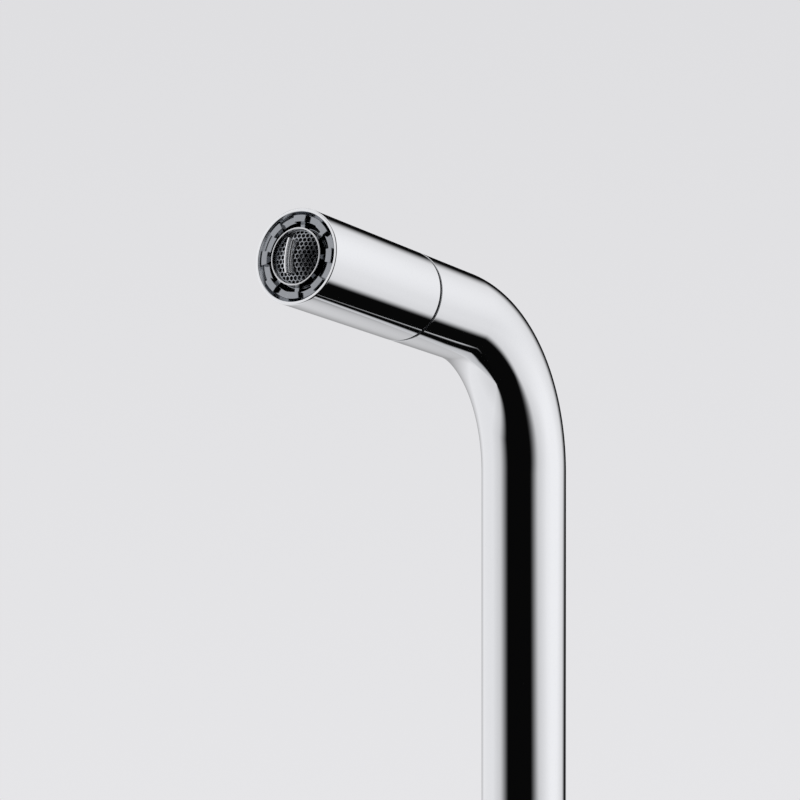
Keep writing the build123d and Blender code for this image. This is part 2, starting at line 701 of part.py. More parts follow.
# Steel ring that the dock's magnet pulls on
with BuildPart() as keeper_ring:
    ring(core_back, core_radius, keeper_inner + thread_gap, keeper_length)
keeper_ring.part.label = "keeper_ring"

# Head shell: chrome tube with a rounded lip and a chamfer inside its mouth
with BuildPart() as head_shell:
    shell_back = seam.offset(seam_gap / 2)
    shell_length = head_length - seam_gap / 2
    shell_bore = tube_radius - shell_wall
    disc(shell_back, tube_radius, shell_length)
    fillet(edges().sort_by(Axis.Y)[0], lip_rounding)
    disc(shell_back, shell_bore, shell_length - mouth_depth, Mode.SUBTRACT)
    disc(spray_face.offset(-mouth_depth), lip_inner, mouth_depth, Mode.SUBTRACT)
    with BuildSketch(spray_face.offset(-lip_depth)) as chamfer_floor:
        Circle(lip_inner)
    with BuildSketch(spray_face) as chamfer_mouth:
        Circle(lip_outer)
    loft([chamfer_floor.sketch.face(), chamfer_mouth.sketch.face()], mode=Mode.SUBTRACT)
head_shell.part.label = "head_shell"

# Mesh filter in the head's inlet
with BuildPart() as inlet_filter:
    disc(seam.offset(-stub_length), stub_bore - thread_gap, filter_thickness)
    holes(seam.offset(-stub_length), HexLocations(filter_pitch / 2, 5, 5), filter_hole, filter_thickness)
inlet_filter.part.label = "inlet_filter"

# Check valve body: cup with a seat at the back and a spider at the front
valve_plane = seam.offset(-valve_back)
valve_length = valve_back + valve_front
with BuildPart() as check_valve_body:
    disc(valve_plane, stub_bore - thread_gap, valve_length)
    disc(valve_plane, valve_seat_radius, valve_length - valve_wall, Mode.SUBTRACT)
    disc(valve_plane.offset(valve_wall), valve_cavity_radius, valve_length - 2 * valve_wall, Mode.SUBTRACT)
    spider = valve_plane.offset(valve_length - valve_wall)
    disc(spider, poppet_stem + 2 * running_gap, valve_wall, Mode.SUBTRACT)
    holes(spider, PolarLocations(spider_pitch_radius, 6), spider_hole, valve_wall)
check_valve_body.part.label = "check_valve_body"

# Check valve poppet, closed against its seat
with BuildPart() as check_poppet:
    poppet_plane = valve_plane.offset(valve_wall + running_gap)
    disc(poppet_plane, poppet_radius, poppet_thickness)
    disc(poppet_plane, poppet_stem, valve_length - 2 * valve_wall + poppet_stem_proud)
check_poppet.part.label = "check_poppet"

# Check valve spring, as the plain sleeve that its coils fill
with BuildPart() as check_spring:
    spring_plane = poppet_plane.offset(poppet_thickness + running_gap)
    spring_length = valve_length - 2 * valve_wall - poppet_thickness - 3 * running_gap
    ring(spring_plane, spring_radius, spring_radius - spring_wire, spring_length)
check_spring.part.label = "check_spring"

# Aerator housing: thin threaded ring that shows round the honeycomb
with BuildPart() as aerator_housing:
    housing_back = spray_face.offset(aerator_proud - aerator_length)
    disc(housing_back, aerator_radius, aerator_length)
    chamfer(edges().sort_by(Axis.Y)[0], aerator_edge)
    disc(housing_back, aerator_bore - ledge_width, aerator_length, Mode.SUBTRACT)
    disc(housing_back.offset(ledge_height), aerator_bore, aerator_length, Mode.SUBTRACT)
aerator_housing.part.label = "aerator_housing"

# Rubber seal behind the aerator
with BuildPart() as aerator_seal:
    seal_depth = chamber_depth + aerator_proud - aerator_length
    seal_radius = aerator_radius - seal_fit
    ring(spray_face.offset(-chamber_depth), seal_radius, seal_radius - seal_width, seal_depth)
aerator_seal.part.label = "aerator_seal"

# Aerator core: plate of small jets with a skirt round it
with BuildPart() as aerator_core:
    core_plane = housing_back.offset(ledge_height)
    disc(core_plane, aerator_bore - thread_gap, jet_cup_height)
    disc(core_plane.offset(jet_plate), aerator_bore - jet_cup_wall, jet_cup_height, Mode.SUBTRACT)
    holes(core_plane, PolarLocations(inner_jets_radius, inner_jets), jet_radius, jet_plate)
    holes(core_plane, PolarLocations(outer_jets_radius, outer_jets), jet_radius, jet_plate)
aerator_core.part.label = "aerator_core"

# Fine screen in front of the aerator's core
with BuildPart() as aerator_screen:
    screen_plane = core_plane.offset(jet_cup_height)
    disc(screen_plane, aerator_bore - thread_gap, screen_thickness)
    holes(screen_plane, HexLocations(screen_pitch / 2, 7, 7), screen_hole, screen_thickness)
aerator_screen.part.label = "aerator_screen"

# Outlet ring: raised and low blocks round the mouth, joined to the aerator by spokes
with BuildPart() as outlet_ring:
    outlet_plane = spray_face.offset(-outlet_back)
    block_top = spray_face.offset(-block_recess)
    ring(outlet_plane, lip_inner - thread_gap, rim_inner, outlet_back - block_recess - block_height)
    inner_rim_height = outlet_back - spoke_recess - inner_rim_drop
    ring(outlet_plane, slot_inner, aerator_radius + aerator_fit, inner_rim_height)
    with BuildSketch(outlet_plane):
        with PolarLocations((rim_inner + slot_inner) / 2, block_count):
            Rectangle(rim_inner - slot_inner + 2 * spoke_root, spoke_width)
    extrude(amount=outlet_back - spoke_recess)
    with BuildSketch(block_top):
        Circle(lip_inner - thread_gap)
        Circle(rim_inner, mode=Mode.SUBTRACT)
        with BuildSketch(Plane.XY, mode=Mode.INTERSECT):
            with PolarLocations(0, block_count):
                reach = 2 * lip_inner
                spread = reach * sin(radians(block_angle / 2)) / cos(radians(block_angle / 2))
                with BuildLine():
                    Polyline((0, 0), (reach, -spread), (reach, spread), close=True)
                make_face()
    extrude(amount=-block_height)
outlet_ring.part.label = "outlet_ring"

# Honeycomb that turns with the blade
with BuildPart() as selector_grid:
    grid_plane = spray_face.offset(-grid_recess - grid_thickness)
    grid_radius = aerator_bore - 2 * running_gap
    with BuildSketch(grid_plane):
        Circle(grid_radius)
        with BuildSketch(Plane.XY, mode=Mode.SUBTRACT):
            columns = 2 * ceil(grid_radius / cell_pitch)
            rows = 2 * ceil(grid_radius / (cell_pitch * sqrt(3) / 2))
            with HexLocations(cell_pitch / 2, columns, rows, major_radius=False):
                RegularPolygon((cell_pitch - cell_wall) / 2, 6, major_radius=False)
            Circle(grid_radius - cell_wall, mode=Mode.INTERSECT)
    extrude(amount=grid_thickness)
selector_grid.part.label = "selector_grid"

# Blade: curved finger tab that leans out of the honeycomb
with BuildPart() as selector_blade:
    blade_direction = (
        head_direction * cos(radians(blade_lean)) - Vector(1, 0, 0) * sin(radians(blade_lean))
    )
    with BuildSketch(spray_face.offset(-grid_recess)):
        with BuildLine():
            half = blade_length / 2
            left = blade_offset - blade_thickness / 2
            right = blade_offset + blade_thickness / 2
            ThreePointArc((left, -half), (left - blade_bow, 0), (left, half))
            Line((left, half), (right, half))
            ThreePointArc((right, half), (right - blade_bow, 0), (right, -half))
            Line((right, -half), (left, -half))
        make_face()
    extrude(amount=blade_height, dir=blade_direction)
selector_blade.part.label = "selector_blade"

pieces = [
    base_ring, base_gasket, body_casting, spout_spigot, shank, rubber_washer, steel_washer, shank_nut,
    swivel_washer, lower_slide_ring, upper_slide_ring, spout_circlip, stop_pin, hose_guide,
    cartridge_housing, cartridge_seals, fixed_disc, cartridge_nut, lever_dome,
    cartridge_rotor, stem_pin, moving_disc, disc_carrier,
    cartridge_stem, lever_handle, set_screw, index_plug,
    spout_tube, spout_bush, dock_guide, dock_magnet, spray_hose, hose_tail_nipple,
    hose_ferrule, swivel_nipple,
    coupling_nut, coupling_washer, head_core, keeper_ring, head_shell, inlet_filter,
    check_valve_body, check_spring, aerator_housing, aerator_seal, aerator_core, aerator_screen,
    outlet_ring, check_poppet, selector_grid, selector_blade,
]
os.makedirs("parts", exist_ok=True)
for piece in pieces:
    export_step(piece.part, f"parts/{piece.part.label}.step")
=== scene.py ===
"""Kitchen mixer with a pull-out spray head: its looks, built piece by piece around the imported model."""
import json
import math

import bpy
from mathutils import Matrix, Vector

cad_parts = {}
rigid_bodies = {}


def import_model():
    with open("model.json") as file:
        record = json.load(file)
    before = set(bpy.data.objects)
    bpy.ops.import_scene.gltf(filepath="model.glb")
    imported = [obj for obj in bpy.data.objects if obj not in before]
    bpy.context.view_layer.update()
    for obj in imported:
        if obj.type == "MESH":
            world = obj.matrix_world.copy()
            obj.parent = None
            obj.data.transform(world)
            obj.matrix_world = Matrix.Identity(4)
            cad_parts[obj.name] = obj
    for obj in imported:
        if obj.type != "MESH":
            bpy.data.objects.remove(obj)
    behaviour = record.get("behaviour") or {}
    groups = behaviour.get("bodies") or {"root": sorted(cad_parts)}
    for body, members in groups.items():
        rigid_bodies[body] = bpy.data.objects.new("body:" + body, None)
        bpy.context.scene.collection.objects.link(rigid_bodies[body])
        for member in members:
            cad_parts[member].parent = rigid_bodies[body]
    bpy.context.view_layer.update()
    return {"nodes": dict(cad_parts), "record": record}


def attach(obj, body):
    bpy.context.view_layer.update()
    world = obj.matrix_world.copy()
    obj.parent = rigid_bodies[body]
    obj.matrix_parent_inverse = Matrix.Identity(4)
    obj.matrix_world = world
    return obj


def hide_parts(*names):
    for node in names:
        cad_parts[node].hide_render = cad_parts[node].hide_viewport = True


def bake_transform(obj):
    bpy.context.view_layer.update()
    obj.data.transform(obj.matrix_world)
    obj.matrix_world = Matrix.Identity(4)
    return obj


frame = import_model()

# Camera, as in the photograph: level, a little below the spray head, in front of the mixer and to the lever's
# side. Long lens, no shift and no depth of field.
camera_data = bpy.data.cameras.new("camera")
camera_data.lens = 97.9
camera_data.sensor_width = 36.0
camera_data.clip_end = 50.0
camera = bpy.data.objects.new("camera", camera_data)
camera.location = (0.5097, -0.8989, 0.3044)
camera_turn = math.radians(32.81)
camera.rotation_euler = (math.radians(90), 0, camera_turn)
bpy.context.collection.objects.link(camera)
bpy.context.scene.camera = camera
bpy.context.scene.view_settings.view_transform = "Standard"


# Studio: a white tent on the left, a round soft box on the right and black cards between and behind them.
# The polished metal shows these as its light faces, its broad black band and its thin dark edges.
def add_node(tree, kind, inputs=(), **settings):
    """Add a node with its settings; inputs are values, sockets or nodes, by number or by name."""
    made = tree.nodes.new(kind)
    for name, value in settings.items():
        setattr(made, name, value)
    for key, value in inputs.items() if isinstance(inputs, dict) else enumerate(inputs):
        if isinstance(value, bpy.types.Node):
            value = value.outputs[0]
        if isinstance(value, bpy.types.NodeSocket):
            tree.links.new(value, made.inputs[key])
        elif value is not None:
            made.inputs[key].default_value = value
    return made


# brightness of each, in the render's linear values, and of the plain backdrop that only the camera sees
tent_level, box_level, ceiling_level, card_level = 1.12, 1.28, 1.05, 0.0035
backdrop_top, backdrop_bottom = 0.7435, 0.7955
soft = {"interpolation_type": "SMOOTHSTEP"}
studio = bpy.data.worlds.new("studio")
bpy.context.scene.world = studio
studio.use_nodes = True
sky = studio.node_tree
sky.nodes.clear()
ray = add_node(sky, "ShaderNodeTexCoord")
# bearings are taken from the camera's side, positive to its right, and run on past straight behind
facing = add_node(sky, "ShaderNodeVectorRotate",
                  {0: ray.outputs["Generated"], "Angle": math.pi / 2 - camera_turn}, rotation_type="Z_AXIS")
along, across, up = add_node(sky, "ShaderNodeSeparateXYZ", [facing]).outputs
turn = add_node(sky, "ShaderNodeMath", [across, along], operation="ARCTAN2")
turn = add_node(sky, "ShaderNodeMath", [turn], operation="DEGREES")
turn = add_node(sky, "ShaderNodeMath", [turn, 240, -120], operation="WRAP")
rise = add_node(sky, "ShaderNodeMath", [up], operation="ARCSINE")
rise = add_node(sky, "ShaderNodeMath", [rise], operation="DEGREES")
# how far each direction is from the middle of the soft box, and from the dim corner behind the spout
off_middle = []
for middle_turn, middle_rise in ((80, 9.5), (180, -6)):
    a, b = math.radians(middle_turn), math.radians(middle_rise)
    middle = (math.cos(b) * math.cos(a), math.cos(b) * math.sin(a), math.sin(b))
    off = add_node(sky, "ShaderNodeVectorMath", [facing, middle], operation="DOT_PRODUCT")
    off = add_node(sky, "ShaderNodeMath", [off.outputs["Value"]], operation="ARCCOSINE")
    off_middle.append(add_node(sky, "ShaderNodeMath", [off], operation="DEGREES"))
off_box, off_corner = off_middle
# soft box: brightest in its middle, softer towards the camera
box = add_node(sky, "ShaderNodeMapRange", [off_box, 22, 60, 1.0, 0.72])
edge_start = add_node(sky, "ShaderNodeMapRange", [turn, 25, 75, 40, 51])
edge_end = add_node(sky, "ShaderNodeMapRange", [turn, 25, 75, 68, 60])
edge = add_node(sky, "ShaderNodeMapRange", [off_box, edge_start, edge_end, 1, 0], **soft)
box = add_node(sky, "ShaderNodeMath", [box, edge], operation="MULTIPLY")
side = add_node(sky, "ShaderNodeMapRange", [turn, 40, 78, 0.84, 1.0])
box = add_node(sky, "ShaderNodeMath", [box, side], operation="MULTIPLY")
# its upper edge slants away to the right
slant = add_node(sky, "ShaderNodeMath", [rise, -0.79, turn], operation="MULTIPLY_ADD")
high = add_node(sky, "ShaderNodeMapRange", [slant, 105, 135, 1.0, 0.72])
edge = add_node(sky, "ShaderNodeMapRange", [slant, 128, 150.5, 1, 0], **soft)
high = add_node(sky, "ShaderNodeMath", [high, edge], operation="MULTIPLY")
share = add_node(sky, "ShaderNodeMapRange", [rise, -20, -6, 0, 1], **soft)
edge = add_node(sky, "ShaderNodeMapRange", [turn, 85, 110, 0, 1], **soft)
share = add_node(sky, "ShaderNodeMath", [share, edge], operation="MULTIPLY")
box = add_node(sky, "ShaderNodeMix", {0: share, 2: box, 3: high}, data_type="FLOAT")
box = add_node(sky, "ShaderNodeMath", [box, box_level], operation="MULTIPLY")
# tent: its near edge runs further forward low down, and its far edge ends behind the spout
shift = add_node(sky, "ShaderNodeMapRange", [rise, -81, -33, 22, 0])
near = add_node(sky, "ShaderNodeMath", [turn, shift], operation="SUBTRACT")
tent = add_node(sky, "ShaderNodeMapRange", [near, -96, -60, 1, 0.68])
edge = add_node(sky, "ShaderNodeMapRange", [near, -73, -45, 1, 0], **soft)
tent = add_node(sky, "ShaderNodeMath", [tent, edge], operation="MULTIPLY")
far = add_node(sky, "ShaderNodeMapRange", [turn, 160, 180, 0.55, 1])
edge = add_node(sky, "ShaderNodeMapRange", [turn, 148, 163, 0, 1], **soft)
far = add_node(sky, "ShaderNodeMath", [far, edge], operation="MULTIPLY")
tent = add_node(sky, "ShaderNodeMath", [tent, far], operation="MAXIMUM")
sheet = add_node(sky, "ShaderNodeMapRange", [rise, -85, -55, 0.84, 1])
tent = add_node(sky, "ShaderNodeMath", [tent, sheet], operation="MULTIPLY")
dim = add_node(sky, "ShaderNodeMapRange", [off_corner, 5, 38, 0.35 * tent_level, tent_level])
tent = add_node(sky, "ShaderNodeMath", [tent, dim], operation="MULTIPLY")
# black card over the spout's far side
past = add_node(sky, "ShaderNodeMath", [rise, -1.3, turn], operation="MULTIPLY_ADD")
card = add_node(sky, "ShaderNodeMapRange", [past, 166, 188, 1, 0], **soft)
for span in ((slant, 127, 151, 0, 1), (rise, -14, -4, 0, 1), (rise, 34, 46, 1, 0)):
    edge = add_node(sky, "ShaderNodeMapRange", span, **soft)
    card = add_node(sky, "ShaderNodeMath", [card, edge], operation="MULTIPLY")
card = add_node(sky, "ShaderNodeMath", [1.0, card], operation="SUBTRACT")
tent = add_node(sky, "ShaderNodeMath", [tent, card], operation="MULTIPLY")
# bright ceiling, all of it together, and the backdrop in its place for the camera's own rays
ceiling = add_node(sky, "ShaderNodeMapRange", [rise, 38, 62, 0, ceiling_level], **soft)
level = add_node(sky, "ShaderNodeMath", [box, tent], operation="MAXIMUM")
level = add_node(sky, "ShaderNodeMath", [level, ceiling], operation="MAXIMUM")
level = add_node(sky, "ShaderNodeMath", [level, card_level], operation="ADD")
backdrop = add_node(sky, "ShaderNodeMapRange", [rise, -10.4, 10.4, backdrop_bottom, backdrop_top])
seen = add_node(sky, "ShaderNodeLightPath").outputs["Is Camera Ray"]
shown = add_node(sky, "ShaderNodeMix", {0: seen, 2: level, 3: backdrop}, data_type="FLOAT")
cool_tint = (0.993, 0.991, 1.014)
tinted = add_node(sky, "ShaderNodeVectorMath", {0: cool_tint, "Scale": shown}, operation="SCALE")
light = add_node(sky, "ShaderNodeBackground", {"Color": tinted, "Strength": 1.0})
add_node(sky, "ShaderNodeOutputWorld", [light])


# Chrome plate: nickel and bright chromium over polished brass, on the outer pieces. The eye sees a cool
# mirror, barely uneven from the buffing wheel, with patches that are wiped a little less clean.
mm = 0.001


def linear(colour):
    """Linear values of an sRGB hex colour."""
    parts = [int(colour[i:i + 2], 16) / 255 for i in (1, 3, 5)]
    return tuple(p / 12.92 if p <= 0.04045 else ((p + 0.055) / 1.055) ** 2.4 for p in parts) + (1.0,)


def surface(name, colour, metallic, roughness, patch, grain, depth, stretch=(1, 1, 1)):
    """A material whose roughness runs between two values over patches, under a fine grain of some depth.

    Patch, grain and depth are in millimetres; stretch draws the grain out along the axes where it is small.
    """
    made = bpy.data.materials.new(name)
    made.use_nodes = True
    tree = made.node_tree
    tree.nodes.clear()
    place = add_node(tree, "ShaderNodeTexCoord").outputs["Object"]
    patches = add_node(tree, "ShaderNodeTexNoise",
                       {"Vector": place, "Scale": 1 / (patch * mm), "Detail": 3.0})
    worn = add_node(tree, "ShaderNodeMapRange", [patches, 0.3, 0.7, roughness[0], roughness[1]])
    drawn = add_node(tree, "ShaderNodeMapping", {"Vector": place, "Scale": stretch})
    grains = add_node(tree, "ShaderNodeTexNoise",
                      {"Vector": drawn, "Scale": 1 / (grain * mm), "Detail": 2.0})
    bump = add_node(tree, "ShaderNodeBump", {"Height": grains, "Strength": 1.0, "Distance": depth * mm})
    shader = add_node(tree, "ShaderNodeBsdfPrincipled",
                      {"Base Color": linear(colour), "Metallic": metallic, "Roughness": worn, "Normal": bump})
    add_node(tree, "ShaderNodeOutputMaterial", [shader])
    return made, tree, shader, place


chrome, *_ = surface("chrome_plate", "#d4d5d6", 1.0, (0.03, 0.05), 22, 26, 0.004)


# Base ring: turned from brass and chromed. It stands on the worktop, centres the body and covers the edge
# of the hole. A groove in its underside holds the rubber gasket.
def modified(piece, kind, **settings):
    """Give a piece one modifier with its settings and apply it."""
    bpy.context.view_layer.objects.active = piece
    change = piece.modifiers.new(kind.lower(), kind)
    for name, value in settings.items():
        setattr(change, name, value)
    bpy.ops.object.modifier_apply(modifier=change.name)


def shaped(name, place, edge=0.0, flat=30):
    """Leave edit mode, round the piece's sharp edges, smooth it and put it in place.

    Edge is the rounding's width in millimetres. Edges that turn by less than flat degrees are left alone.
    """
    piece = bpy.context.object
    piece.name = piece.data.name = name
    bpy.ops.mesh.select_all(action="SELECT")
    bpy.ops.mesh.remove_doubles(threshold=0.002 * mm)
    bpy.ops.mesh.normals_make_consistent(inside=False)
    bpy.ops.object.mode_set(mode="OBJECT")
    if edge:
        modified(piece, "BEVEL", width=edge * mm, segments=3, limit_method="ANGLE",
                 angle_limit=math.radians(flat))
    bpy.ops.object.shade_smooth_by_angle(angle=math.radians(40))
    modified(piece, "WEIGHTED_NORMAL", keep_sharp=True)
    piece.matrix_world = place
    bpy.ops.object.transform_apply(location=True, rotation=True, scale=True)
    return piece


def first_point(radius, height):
    """Start a mesh as one selected point, in edit mode."""
    bpy.ops.object.select_all(action="DESELECT")
    bpy.ops.mesh.primitive_plane_add(size=mm)
    bpy.ops.object.mode_set(mode="EDIT")
    bpy.ops.mesh.merge(type="CENTER")
    bpy.ops.transform.translate(value=(radius * mm, 0, height * mm))


def turned(name, section, place, edge=0.0, sides=128):
    """Draw a section of (radius, height) points in millimetres, spin it round and put it in place."""
    first_point(*section[0])
    for (r0, h0), (r1, h1) in zip(section, section[1:] + section[:1]):
        # a section that stands on the axis starts and ends there, so the axis itself is no edge
        if (r0, r1) != (0, 0):
            step = ((r1 - r0) * mm, 0, (h1 - h0) * mm)
            bpy.ops.mesh.extrude_vertices_move(TRANSFORM_OT_translate={"value": step})
    bpy.ops.mesh.select_all(action="SELECT")
    bpy.ops.mesh.spin(steps=sides, angle=2 * math.pi, center=(0, 0, 0), axis=(0, 0, 1), use_auto_merge=True)
    return shaped(name, place, edge)


def arc(middle, radius, start, end, steps=6):
    """Points of a round corner in a section, in millimetres and degrees."""
    turns = [math.radians(start + (end - start) * i / steps) for i in range(steps + 1)]
    return [(middle[0] + radius * math.cos(t), middle[1] + radius * math.sin(t)) for t in turns]


upright = Matrix.Identity(4)
base_radius, base_height, base_edge, underside_edge = 27.0, 5.0, 1.2, 0.4
shank_hole, gasket_inner, gasket_outer, gasket_depth = 17.6, 21.0, 25.0, 1.5
section = [(shank_hole, 0), (gasket_inner, 0), (gasket_inner, gasket_depth), (gasket_outer, gasket_depth),
           (gasket_outer, 0), *arc((base_radius - underside_edge, underside_edge), underside_edge, -90, 0, 3),
           *arc((base_radius - base_edge, base_height - base_edge), base_edge, 0, 90, 8),
           (shank_hole, base_height)]
base = turned("base_collar", section, upright, edge=0.12, sides=160)
base.data.materials.append(chrome)
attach(base, "mixer_body")
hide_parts("base_ring")


# Shank: brass tube, bored and turned, with an M34x1.5 thread cut over its whole length. It is screwed up into
# the body and hangs through the hole in the worktop.
def carved(piece, tool, way):
    """Cut a tool piece out of a piece, join the two or keep what they share, and take the tool away."""
    modified(piece, "BOOLEAN", object=tool, operation=way)
    bpy.data.objects.remove(tool)
    piece.select_set(True)


# turned brass: a warm yellow metal with fine rings from the lathe
brass, *_ = surface("turned_brass", "#d2bb86", 1.0, (0.16, 0.26), 7, 0.35, 0.002, (0.06, 0.06, 1))
shank_radius, shank_bore, shank_bottom, shank_top = 17.0, 15.4, -55.0, 14.0
pitch, thread_depth, flank_rise, crest_width = 1.5, 0.85, 0.62, 0.26
shank_sides, spare_turns = 72, 3
turns = math.ceil((shank_top - shank_bottom) / pitch) + spare_turns
first_point(shank_radius - thread_depth, shank_bottom - spare_turns / 2 * pitch)
for outwards, upwards in ((thread_depth, flank_rise), (0, crest_width), (-thread_depth, flank_rise)):
    bpy.ops.mesh.extrude_vertices_move(TRANSFORM_OT_translate={"value": (outwards * mm, 0, upwards * mm)})
bpy.ops.object.mode_set(mode="OBJECT")
thread = bpy.context.object
modified(thread, "SCREW", screw_offset=pitch * mm, iterations=turns, steps=shank_sides,
         render_steps=shank_sides, use_merge_vertices=True, merge_threshold=0.01 * mm)
bpy.ops.object.mode_set(mode="EDIT")
bpy.ops.mesh.select_all(action="SELECT")
bpy.ops.mesh.remove_doubles(threshold=0.004 * mm)
for height, below in ((shank_bottom, True), (shank_top, False)):
    # cut each end square and close it
    bpy.ops.mesh.select_all(action="SELECT")
    bpy.ops.mesh.bisect(plane_co=(0, 0, height * mm), plane_no=(0, 0, 1), use_fill=True, clear_inner=below,
                        clear_outer=not below, threshold=0.0005 * mm)
bpy.ops.mesh.select_all(action="SELECT")
bpy.ops.mesh.normals_make_consistent(inside=False)
bpy.ops.object.mode_set(mode="OBJECT")
bpy.ops.object.select_all(action="DESELECT")
bpy.ops.mesh.primitive_cylinder_add(vertices=shank_sides, radius=shank_bore * mm,
                                    depth=2 * (shank_top - shank_bottom) * mm)
carved(thread, bpy.context.object, "DIFFERENCE")
bpy.ops.object.mode_set(mode="EDIT")
shank = shaped("threaded_shank", upright)
shank.data.materials.append(brass)
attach(shank, "mixer_body")
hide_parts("shank")


# Rubber washer: moulded in EPDM, with a round rim and a groove in its upper face. It lies against the
# underside of the worktop and seals the hole.
washer_radius, washer_hole, rubber_top, rubber_thickness, rubber_edge = 25.0, 17.6, -30.0, 3.0, 0.8
groove_middle, groove_depth = 22.2, 0.4
# moulded rubber: black and dull, with a faint pebble
rubber, *_ = surface("moulded_epdm_rubber", "#17181a", 0.0, (0.55, 0.75), 5, 0.4, 0.01)
rubber_low = rubber_top - rubber_thickness
section = [(washer_hole, rubber_low)]
section += arc((washer_radius - rubber_edge, rubber_low + rubber_edge), rubber_edge, -90, 0, 5)
section += arc((washer_radius - rubber_edge, rubber_top - rubber_edge), rubber_edge, 0, 90, 5)
section += [(groove_middle + across * groove_depth, rubber_top - down * groove_depth)
            for across, down in ((2, 0), (1, 1), (-1, 1), (-2, 0))]
section += [(washer_hole, rubber_top)]
rubber_washer = turned("moulded_washer", section, upright, edge=0.1)
rubber_washer.data.materials.append(rubber)
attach(rubber_washer, "mixer_body")
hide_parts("rubber_washer")


# Steel washer: stamped from stainless sheet, its upper edge rolled over by the punch. It spreads the nut's
# force over the rubber washer.
steel_thickness, punch_edge = 2.0, 0.5
# rolled stainless steel: a pale grey metal with a fine grain along the strip
steel, *_ = surface("rolled_stainless_steel", "#b9bbbd", 1.0, (0.22, 0.34), 9, 0.5, 0.001, (1, 0.08, 1))
steel_low = rubber_low - steel_thickness
section = [(washer_hole, steel_low), (washer_radius, steel_low),
           *arc((washer_radius - punch_edge, rubber_low - punch_edge), punch_edge, 0, 90, 4),
           (washer_hole, rubber_low)]
steel_washer = turned("stamped_washer", section, upright, edge=0.12)
steel_washer.data.materials.append(steel)
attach(steel_washer, "mixer_body")
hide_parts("steel_washer")


# Shank nut: hexagon brass nut, 41 mm across its flats. Its corners are turned off above, and below it is
# turned down to a cone. It clamps the worktop between the washers and the base ring.
nut_flats, nut_height, nut_bore = 41.0, 8.0, 17.02
nut_foot, nut_cone, nut_corner, nut_face, nut_bevel = 20.0, 2.4, 24.2, 23.4, 0.4
nut_low = steel_low - nut_height
bpy.ops.object.select_all(action="DESELECT")
bpy.ops.mesh.primitive_circle_add(vertices=6, radius=nut_flats / 2 / math.cos(math.radians(30)) * mm,
                                  fill_type="NGON")
bpy.ops.object.mode_set(mode="EDIT")
bpy.ops.transform.translate(value=(0, 0, nut_low * mm))
bpy.ops.mesh.extrude_region_move(TRANSFORM_OT_translate={"value": (0, 0, nut_height * mm)})
nut = shaped("hexagon_nut", upright)
section = [(nut_bore, nut_low), (nut_foot, nut_low), (nut_corner, nut_low + nut_cone),
           (nut_corner, steel_low - nut_bevel), (nut_face, steel_low), (nut_bore, steel_low)]
carved(nut, turned("nut_blank", section, upright), "INTERSECT")
bpy.ops.object.mode_set(mode="EDIT")
nut = shaped("hexagon_nut", upright, edge=0.25)
nut.data.materials.clear()
nut.data.materials.append(brass)
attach(nut, "mixer_body")
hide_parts("shank_nut")


# Lever: turned brass hub with a shallow dish in its face and a round hollow over the dome, and a thin pin
# handle pressed into it and blended at its root. Both are polished and chromed as one.
cartridge_height = 40
cartridge_frame = (Matrix.Translation((0, 0, cartridge_height * mm))
                   @ Matrix(((0, 0, 1), (1, 0, 0), (0, 1, 0))).to_4x4())
pivot_x, dome_radius, hub_gap = 36.0, 18.0, 0.5
hub_radius, hub_x, hub_end_x, hub_edge, hub_inner_edge = 17.0, 50.5, 67.0, 1.5, 0.5
dish_rim, dish_slope, dish_rounding, dish_depth = 13.5, 1.0, 3.0, 0.4
stem_bore, stem_end = 3.22, 62.0
hollow = dome_radius + hub_gap
bore_turn = math.degrees(math.asin(stem_bore / hollow))
rim_turn = math.degrees(math.acos((hub_x - pivot_x) / hollow))
section = [(0, stem_end), (stem_bore, stem_end)]
section += arc((0, pivot_x), hollow, 90 - bore_turn, 90 - rim_turn, 10)
section += [(hub_radius - hub_inner_edge, hub_x), (hub_radius, hub_x + hub_inner_edge)]
section += arc((hub_radius - hub_edge, hub_end_x - hub_edge), hub_edge, 0, 90, 8)
section += [(dish_rim, hub_end_x)]
section += arc((dish_rim - dish_slope, hub_end_x + dish_rounding - dish_depth), dish_rounding, -70, -90, 3)
section += [(0, hub_end_x - dish_depth)]
hub = turned("lever_hub", section, cartridge_frame, sides=160)
arm_radius, arm_x, arm_root, arm_reach = 4.0, 59.0, 5.0, 68.0
arm_flare, flare_lift, flare_root, arm_gap = 1.6, 0.6, 1.2, 0.3
root_radius = arm_radius + arm_flare
section = [(0, arm_root), (root_radius, arm_root), (root_radius, hub_radius - flare_root)]
section += arc((root_radius, hub_radius + flare_lift), arm_flare, 255, 180, 5)
section += arc((0, arm_reach - arm_radius), arm_radius, 0, 90, 10)[:-1] + [(0, arm_reach)]
arm = turned("lever_arm", section, Matrix.Translation((arm_x * mm, 0, cartridge_height * mm)), sides=96)
bpy.ops.object.select_all(action="DESELECT")
bpy.ops.mesh.primitive_uv_sphere_add(segments=96, ring_count=48, radius=(hollow + arm_gap) * mm,
                                     location=(pivot_x * mm, 0, cartridge_height * mm))
carved(arm, bpy.context.object, "DIFFERENCE")
carved(hub, arm, "UNION")
bpy.ops.object.mode_set(mode="EDIT")
lever = shaped("lever", upright)
lever.data.materials.clear()
lever.data.materials.append(chrome)
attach(lever, "lever")
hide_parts("lever_handle")


